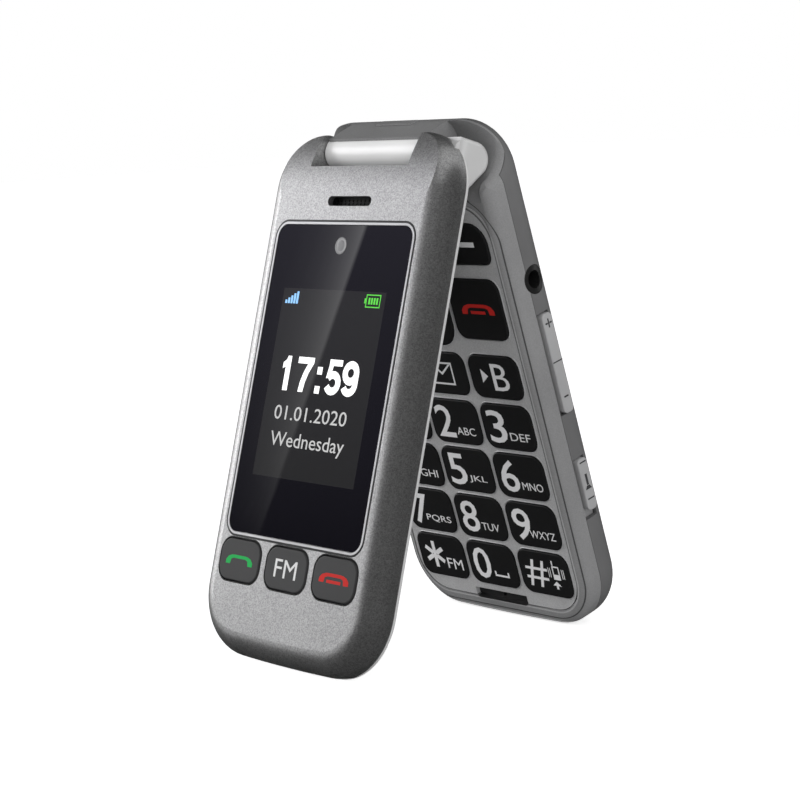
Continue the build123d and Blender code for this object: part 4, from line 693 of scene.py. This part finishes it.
# radius and w of the ring and of the lens
RING_PROFILE = [(0, 6.8), (1.75, 6.8), (1.75, 6.88), (1.6, 6.93), (1.2, 6.9), (0, 6.9)]
LENS_PROFILE = [(0, 6.86), (1.15, 6.86), (1.1, 6.92), (0.8, 6.94), (0, 6.95)]
form = bmesh.new()
turned(form, RING_PROFILE)
make("camera_ring", form, LID, LENS_SPOT, lens_ring, "lid")
form = bmesh.new()
turned(form, LENS_PROFILE)
make("camera_lens", form, LID, LENS_SPOT, lens_dark, "lid")

# ---- Speaker slot ------------------------------------------------------------------------
# Long slot near the hinge, backed by a perforated steel mesh in black paint.  The other
# steel pieces, such as the screws and the hinge's shaft, are left bare.

dress("steel", finish("steel", (0.5, 0.5, 0.51), 0.35, metallic=1.0))
mesh_steel = finish("mesh_steel", (0.006, 0.006, 0.006), 0.6, shine=0.1)
frame["nodes"]["speaker_mesh"].material_slots[0].material = mesh_steel

# ---- Lid keys ----------------------------------------------------------------------------
# Three charcoal keys in tight wells: answer, radio and hang up.  They are moulded with a
# satin face and press a dome sheet under the shell.  Their signs are printed.

LID_KEY_TOP = 7.1
lid_key_grey = finish("lid_key_grey", (0.042, 0.042, 0.043), 0.42, spread=0.05, bump=0.25, shine=0.12)
dress("lid_key_grey", lid_key_grey)
print_green = lit("print_green", (0.015, 0.42, 0.09))
print_red = lit("print_red", (0.56, 0.024, 0.02))
print_white = lit("print_white", (0.75, 0.75, 0.75))

# half of a telephone receiver lying face down, as shares of its width and height
RECEIVER_OUTER = [(0.5, -0.5), (0.5, -0.1), (0.42, 0.28), (0.3, 0.46), (0.2, 0.5)]
RECEIVER_INNER = [(0.34, -0.5), (0.31, 0.02), (0.22, 0.16)]


def receiver(form, middle, width, height, low, high):
    """Telephone receiver lying face down: a flat arch with two thick ends."""
    half = RECEIVER_OUTER + [(-x, y) for x, y in reversed(RECEIVER_OUTER)]
    half += [(-x, y) for x, y in RECEIVER_INNER] + list(reversed(RECEIVER_INNER))
    prism(form, [(middle[0] + x * width, middle[1] + y * height) for x, y in half], low, high)


LID_PRINT = (LID_KEY_TOP - PRINT, LID_KEY_TOP + PRINT)
form = bmesh.new()
receiver(form, (0, 0), 8.6, 1.9, *LID_PRINT)
make("lid_call_sign", form, LID, (-LID_KEY_PITCH, LID_KEY_V), print_green, "lid_call_key")
form = bmesh.new()
letters(form, "FM", (-3.45, 3.45, -1.75, 1.85), *LID_PRINT)
make("lid_radio_sign", form, LID, (0, LID_KEY_V), print_white, "lid_radio_key")
form = bmesh.new()
receiver(form, (0, 0.1), 8.8, 1.9, *LID_PRINT)
box_plate(form, -2.1, 2.1, -0.85, -0.25, *LID_PRINT)
make("lid_end_sign", form, LID, (LID_KEY_PITCH, LID_KEY_V), print_red, "lid_end_key")

# ---- Hinge -------------------------------------------------------------------------------
# White moulded sleeve round the spring cartridge, between the silver lugs of the lid.  It
# belongs to the keypad half and stays still when the lid turns.

hinge_white = finish("hinge_white", (0.93, 0.93, 0.93), 0.3, spread=0.03, bump=0.05)
dress("hinge_white", hinge_white)

# ---- Base housing and keypad fascia ------------------------------------------------------
# Grey moulded rail round a satin silver plate with rounded wells that have a thin bright
# edge.  On the rail, a painted highlight runs along the plate, and a line of painted shade
# marks a fine groove.  A darker moulded cover clips over the back.

FASCIA_HALF = 24.4
FASCIA_REACH = (11.3, 99.8)
FASCIA_RADIUS = 8.0
MIC_SLOT_HALF = 7.9
MIC_SLOT_REACH = (97.7, 100.1)
MIC_SLOT_RADIUS = 1.0
base_grey = finish("base_grey", (0.235, 0.235, 0.238), 0.45, spread=0.05, bump=0.12, flakes=(6000.0, 0.08))
rail = line_distance(base_grey.node_tree, BASE_OUT, FASCIA_HALF, FASCIA_REACH, FASCIA_RADIUS)
# painted highlight: a bright line on the rail just outside the plate's edge; painted shade: a dark line
# further out, drawn for a fine groove in the rail
draw_line(base_grey, rail, middle=0.35, half=0.16, tone=1.7)
draw_line(base_grey, rail, middle=1.75, half=0.12, tone=0.25)
# painted shade: the inside of the mic slot and its lip are painted nearly black, for the shade in the recess
slot = line_distance(base_grey.node_tree, BASE_OUT, MIC_SLOT_HALF, MIC_SLOT_REACH, MIC_SLOT_RADIUS)
draw_line(base_grey, slot, middle=-0.6, half=0.65, tone=0.06)
dress("base_grey", base_grey)
fascia_silver = finish(
    "fascia_silver", (0.6, 0.6, 0.605), 0.4, metallic=0.3, spread=0.05, bump=0.12, flakes=(6000.0, 0.1)
)
# painted shade: a dark line along the plate's outer edge, for the shade in the seam between plate and rail
edge = line_distance(fascia_silver.node_tree, BASE_OUT, FASCIA_HALF, FASCIA_REACH, FASCIA_RADIUS)
draw_line(fascia_silver, edge, middle=0.0, half=0.22, tone=0.3)
dress("fascia_silver", fascia_silver)
cover_grey = finish("cover_grey", (0.135, 0.135, 0.137), 0.55, spread=0.06, bump=0.4)
dress("cover_grey", cover_grey)

PITCH_U = 15.8
PITCH_V = 10.95
FIRST_ROW = 47.5
CALL_U = 15.55
CALL_V = 32.95
NAV_V = 30.25
RIM_LINE = 0.13
RIM_HEIGHT = -0.29
RIM_SIDES = 6
CORNER_STEPS = 6
# width, height, corner radius and middles of each kind of well
WELLS = [
    (15.1, 10.4, 2.8, [(u * PITCH_U, FIRST_ROW + PITCH_V * row) for row in range(1, 5) for u in COLUMNS]),
    (14.9, 9.8, 2.8, [(u * PITCH_U, FIRST_ROW) for u in COLUMNS]),
    (15.4, 13.3, 2.8, [(-CALL_U, CALL_V), (CALL_U, CALL_V)]),
    (14.2, 22.4, 4.7, [(0, NAV_V)]),
]
rim_bright = finish("rim_bright", (0.62, 0.62, 0.63), 0.3, metallic=0.4, spread=0.05, bump=0.05)

rim_tree = bpy.data.node_groups.new("well_rims", "GeometryNodeTree")
rim_tree.interface.new_socket("Geometry", in_out="INPUT", socket_type="NodeSocketGeometry")
rim_inputs = {}
for label in ("Width", "Height", "Corner", "Line", "Material"):
    kind = "NodeSocketMaterial" if label == "Material" else "NodeSocketFloat"
    rim_inputs[label] = rim_tree.interface.new_socket(label, in_out="INPUT", socket_type=kind).identifier
rim_tree.interface.new_socket("Geometry", in_out="OUTPUT", socket_type="NodeSocketGeometry")
given = rim_tree.nodes.new("NodeGroupInput")
sent = rim_tree.nodes.new("NodeGroupOutput")
well = rim_tree.nodes.new("GeometryNodeCurvePrimitiveQuadrilateral")
soft = rim_tree.nodes.new("GeometryNodeFilletCurve")
soft.mode = "POLY"
soft.inputs[1].default_value = CORNER_STEPS
wire = rim_tree.nodes.new("GeometryNodeCurvePrimitiveCircle")
wire.inputs["Resolution"].default_value = RIM_SIDES
sweep = rim_tree.nodes.new("GeometryNodeCurveToMesh")
repeat = rim_tree.nodes.new("GeometryNodeInstanceOnPoints")
real = rim_tree.nodes.new("GeometryNodeRealizeInstances")
coat = rim_tree.nodes.new("GeometryNodeSetMaterial")
for start, end in (
    (given.outputs["Width"], well.inputs["Width"]),
    (given.outputs["Height"], well.inputs["Height"]),
    (well.outputs[0], soft.inputs["Curve"]),
    (given.outputs["Corner"], soft.inputs["Radius"]),
    (given.outputs["Line"], wire.inputs["Radius"]),
    (soft.outputs[0], sweep.inputs["Curve"]),
    (wire.outputs[0], sweep.inputs["Profile Curve"]),
    (given.outputs["Geometry"], repeat.inputs["Points"]),
    (sweep.outputs[0], repeat.inputs["Instance"]),
    (repeat.outputs[0], real.inputs["Geometry"]),
    (real.outputs[0], coat.inputs["Geometry"]),
    (given.outputs["Material"], coat.inputs["Material"]),
    (coat.outputs[0], sent.inputs[0]),
):
    rim_tree.links.new(start, end)

form = bmesh.new()
for width, height, corner, spots in WELLS:
    dots = bpy.data.meshes.new("well_spots")
    dots.from_pydata([(u, -v, RIM_HEIGHT) for u, v in spots], [], [])
    holder = bpy.data.objects.new("well_spots", dots)
    scene.collection.objects.link(holder)
    rims = holder.modifiers.new("rims", "NODES")
    rims.node_group = rim_tree
    for label, value in (("Width", width), ("Height", height), ("Corner", corner), ("Line", RIM_LINE)):
        rims[rim_inputs[label]] = value
    rims[rim_inputs["Material"]] = rim_bright
    bpy.context.view_layer.update()
    done = bpy.data.meshes.new_from_object(holder.evaluated_get(bpy.context.evaluated_depsgraph_get()))
    form.from_mesh(done)
    holder.modifiers.remove(rims)
    bpy.data.objects.remove(holder)
    bpy.data.meshes.remove(done)
make("keypad_well_rims", form, BASE, (0, 0), rim_bright, "base")

# ---- Keys of the base --------------------------------------------------------------------
# Satin black keys, moulded one by one, that press domes on a sheet below the silver plate.
# They carry large printed digits, with the usual small letters beside them.

key_black = finish("key_black", (0.013, 0.013, 0.0135), 0.42, spread=0.05, bump=0.2, shine=0.14)
dress("key_black", key_black)
print_silver = lit("print_silver", (0.78, 0.78, 0.79))
KEY_TOP = 0.1
KEY_PRINT = (KEY_TOP - PRINT, KEY_TOP + PRINT)
DIGIT_BOLD = 0.008
DIGIT_BOX = (-5.7, -0.5, -3.6, 3.6)
DIGITS = [
    ("digit_1_key", "1", (-0.55, 0.55, -3.6, 3.6), None, None),
    ("digit_2_key", "2", DIGIT_BOX, "ABC", (0.0, 5.6)),
    ("digit_3_key", "3", DIGIT_BOX, "DEF", (0.2, 6.0)),
    ("digit_4_key", "4", DIGIT_BOX, "GHI", (0.3, 5.8)),
    ("digit_5_key", "5", DIGIT_BOX, "JKL", (0.0, 5.4)),
    ("digit_6_key", "6", DIGIT_BOX, "MNO", (0.1, 6.1)),
    ("digit_7_key", "7", DIGIT_BOX, "PQRS", (-1.7, 6.1)),
    ("digit_8_key", "8", DIGIT_BOX, "TUV", (0.0, 5.3)),
    ("digit_9_key", "9", DIGIT_BOX, "WXYZ", (-1.3, 6.1)),
]
LETTER_HEIGHT = (-2.8, -1.05)

for number, (node, digit, box, word, span) in enumerate(DIGITS):
    row, column = divmod(number, 3)
    spot = (COLUMNS[column] * PITCH_U, FIRST_ROW + (row + 1) * PITCH_V)
    form = bmesh.new()
    letters(form, digit, box, *KEY_PRINT, DIGIT_BOLD)
    if word:
        letters(form, word, (*span, *LETTER_HEIGHT), *KEY_PRINT)
    make(node.replace("key", "sign"), form, BASE, spot, print_silver, node)

LAST_ROW = FIRST_ROW + 4 * PITCH_V


def bar(form, start, end, width, low, high):
    """Straight stroke of a sign."""
    first, second = Vector(start), Vector(end)
    along = (second - first).normalized() * width / 2
    side = Vector((-along.y, along.x))
    prism(form, [tuple(p) for p in (first - side, second - side, second + side, first + side)], low, high)


# beside the 0 stands a space mark
form = bmesh.new()
letters(form, "0", DIGIT_BOX, *KEY_PRINT, DIGIT_BOLD)
bar(form, (0.5, -1.4), (0.5, -2.3), 0.45, *KEY_PRINT)
bar(form, (0.3, -2.4), (4.6, -2.4), 0.45, *KEY_PRINT)
bar(form, (4.4, -1.4), (4.4, -2.3), 0.45, *KEY_PRINT)
make("digit_0_sign", form, BASE, (0, LAST_ROW), print_silver, "digit_0_key")

# the star's upright arm runs through, the other four start beside it
STAR_MIDDLE = Vector((-2.3, 0.1))
STAR_ARM = 3.1
STAR_HUB = 0.6
form = bmesh.new()
upright = Vector((0, STAR_ARM))
bar(form, STAR_MIDDLE + upright, STAR_MIDDLE - upright, 1.0, *KEY_PRINT)
for turn_by in (30, -30):
    along = Vector((math.cos(math.radians(turn_by)), math.sin(math.radians(turn_by))))
    for way in (-1, 1):
        bar(form, STAR_MIDDLE + way * STAR_HUB * along, STAR_MIDDLE + way * STAR_ARM * along, 1.0, *KEY_PRINT)
letters(form, "FM", (1.2, 6.1, -2.8, -0.3), *KEY_PRINT)
make("star_sign", form, BASE, (-PITCH_U, LAST_ROW), print_silver, "star_key")

# beside the hash stands a small phone that shakes, over an arrow
form = bmesh.new()
letters(form, "#", (-5.4, 1.0, -3.2, 3.0), *KEY_PRINT)
box_plate(form, 2.6, 4.6, -0.9, 0.3, *KEY_PRINT)
box_plate(form, 2.6, 2.9, 0.33, 2.2, *KEY_PRINT)
box_plate(form, 4.3, 4.6, 0.33, 2.2, *KEY_PRINT)
box_plate(form, 2.93, 4.27, 1.9, 2.2, *KEY_PRINT)
bar(form, (2.9, 2.3), (2.9, 3.4), 0.35, *KEY_PRINT)
for side in (-1, 1):
    for ring in (1, 2):
        middle = 3.6 + side * (1.2 + 0.5 * ring)
        bar(form, (middle, -0.5), (middle, 1.7), 0.18, *KEY_PRINT)
prism(form, [(1.9, -2.3), (3.1, -1.3), (4.3, -2.3)], *KEY_PRINT)
box_plate(form, 2.8, 3.4, -3.1, -2.32, *KEY_PRINT)
make("hash_sign", form, BASE, (PITCH_U, LAST_ROW), print_silver, "hash_key")

for node, letter, column in (("memory_a_key", "A", -1), ("memory_b_key", "B", 1)):
    form = bmesh.new()
    letters(form, letter, (-0.7, 3.9, -2.8, 3.0), *KEY_PRINT)
    prism(form, [(-3.8, -1.3), (-1.9, 0.2), (-3.8, 1.7)], *KEY_PRINT)
    make(node.replace("key", "sign"), form, BASE, (column * PITCH_U, FIRST_ROW), print_silver, node)

# an envelope
form = bmesh.new()
for start, end in (
    ((-3.4, -2.3), (3.4, -2.3)),
    ((-3.4, 2.3), (3.4, 2.3)),
    ((-3.2, -2.1), (-3.2, 2.1)),
    ((3.2, -2.1), (3.2, 2.1)),
):
    bar(form, start, end, 0.4, *KEY_PRINT)
prism(form, [(-3.0, 2.05), (-2.4, 2.05), (0, 0.2), (2.4, 2.05), (3.0, 2.05), (0, -0.4)], *KEY_PRINT)
make("message_sign", form, BASE, (0, FIRST_ROW), print_silver, "message_key")

SOFT_V = 19.2
form = bmesh.new()
receiver(form, (0.3, 0.1), 9.4, 2.2, *KEY_PRINT)
box_plate(form, -1.9, 2.3, -0.9, -0.25, *KEY_PRINT)
make("end_sign", form, BASE, (CALL_U, CALL_V), print_red, "end_key")
form = bmesh.new()
receiver(form, (0, 0.1), 9.4, 2.2, *KEY_PRINT)
make("call_sign", form, BASE, (-CALL_U, CALL_V), print_green, "call_key")
for node, side in (("left_soft_key", -1), ("right_soft_key", 1)):
    form = bmesh.new()
    bar(form, (-3.9, 0), (3.9, 0), 1.05, *KEY_PRINT)
    make(node.replace("key", "sign"), form, BASE, (side * CALL_U, SOFT_V), print_silver, node)
form = bmesh.new()
for along in (-1, 1):
    prism(form, [(-1.3, along * 7.3), (1.3, along * 7.3), (0, along * 9.0)], *KEY_PRINT)
    prism(form, [(along * 4.5, -1.1), (along * 4.5, 1.1), (along * 5.7, 0)], *KEY_PRINT)
make("nav_sign", form, BASE, (0, NAV_V), print_silver, "nav_ring_key")

# ---- Side keys and sockets ---------------------------------------------------------------
# Grey moulded rocker and slider in the right side, with dark printed marks.  The black
# headphone socket sits above them.

side_key_grey = finish("side_key_grey", (0.36, 0.36, 0.365), 0.4, spread=0.05, bump=0.25)
dress("side_key_grey", side_key_grey)
# a side mark's x runs towards the free end, its y towards the back and its z out of the side
SIDE = BASE @ Matrix(((0, 0, 1, 0), (-1, 0, 0, 0), (0, -1, 0, 0), (0, 0, 0, 1)))
SIDE_MIDDLE = -6.75
SIDE_KEY_FACE = 27.7
SIDE_PRINT = (SIDE_KEY_FACE - PRINT, SIDE_KEY_FACE + PRINT)
VOLUME_V = 46.3
TORCH_V = 72.6
mark_grey = lit("mark_grey", (0.05, 0.05, 0.052))
# plus, the rocker's middle and minus
form = bmesh.new()
bar(form, (-9.45, 0), (-7.55, 0), 0.35, *SIDE_PRINT)
bar(form, (-8.5, 0.25), (-8.5, 0.9), 0.35, *SIDE_PRINT)
bar(form, (-8.5, -0.25), (-8.5, -0.9), 0.35, *SIDE_PRINT)
bar(form, (-0.4, -1.3), (-0.4, 1.3), 0.25, *SIDE_PRINT)
bar(form, (7.1, -0.6), (7.1, 0.6), 0.35, *SIDE_PRINT)
make("volume_marks", form, SIDE, (VOLUME_V, SIDE_MIDDLE), mark_grey, "volume_rocker")
# a small torch between two lines
form = bmesh.new()
bar(form, (-4.8, -0.9), (-4.8, 0.9), 0.3, *SIDE_PRINT)
bar(form, (3.1, -0.9), (3.1, 0.9), 0.3, *SIDE_PRINT)
bar(form, (-2.2, 0), (0.2, 0), 0.6, *SIDE_PRINT)
prism(form, [(0.3, -0.4), (1.1, -0.9), (1.1, 0.9), (0.3, 0.4)], *SIDE_PRINT)
make("torch_marks", form, SIDE, (TORCH_V, SIDE_MIDDLE), mark_grey, "torch_slider")
dress("black_module", finish("black_module", (0.012, 0.012, 0.012), 0.4, spread=0.05))

# ---- Inside ------------------------------------------------------------------------------
# Boards, domes, battery, displays and cable that the two housings close over, in the plain
# colours that such pieces have.

for slot, colour, roughness, metallic in (
    ("window_clear", (0.012, 0.012, 0.018), 0.05, 0.0),
    ("display", (0.01, 0.01, 0.012), 0.2, 0.0),
    ("circuit_board", (0.02, 0.12, 0.05), 0.5, 0.0),
    ("dome_foil", (0.6, 0.6, 0.62), 0.35, 0.8),
    ("rubber_pad", (0.03, 0.03, 0.032), 0.8, 0.0),
    ("flex", (0.35, 0.14, 0.03), 0.4, 0.0),
    ("chassis_black", (0.02, 0.02, 0.021), 0.5, 0.0),
    ("battery_wrap", (0.03, 0.03, 0.035), 0.45, 0.0),
    ("torch_lens", (0.6, 0.58, 0.45), 0.12, 0.0),
):
    dress(slot, finish(slot, colour, roughness, metallic=metallic))
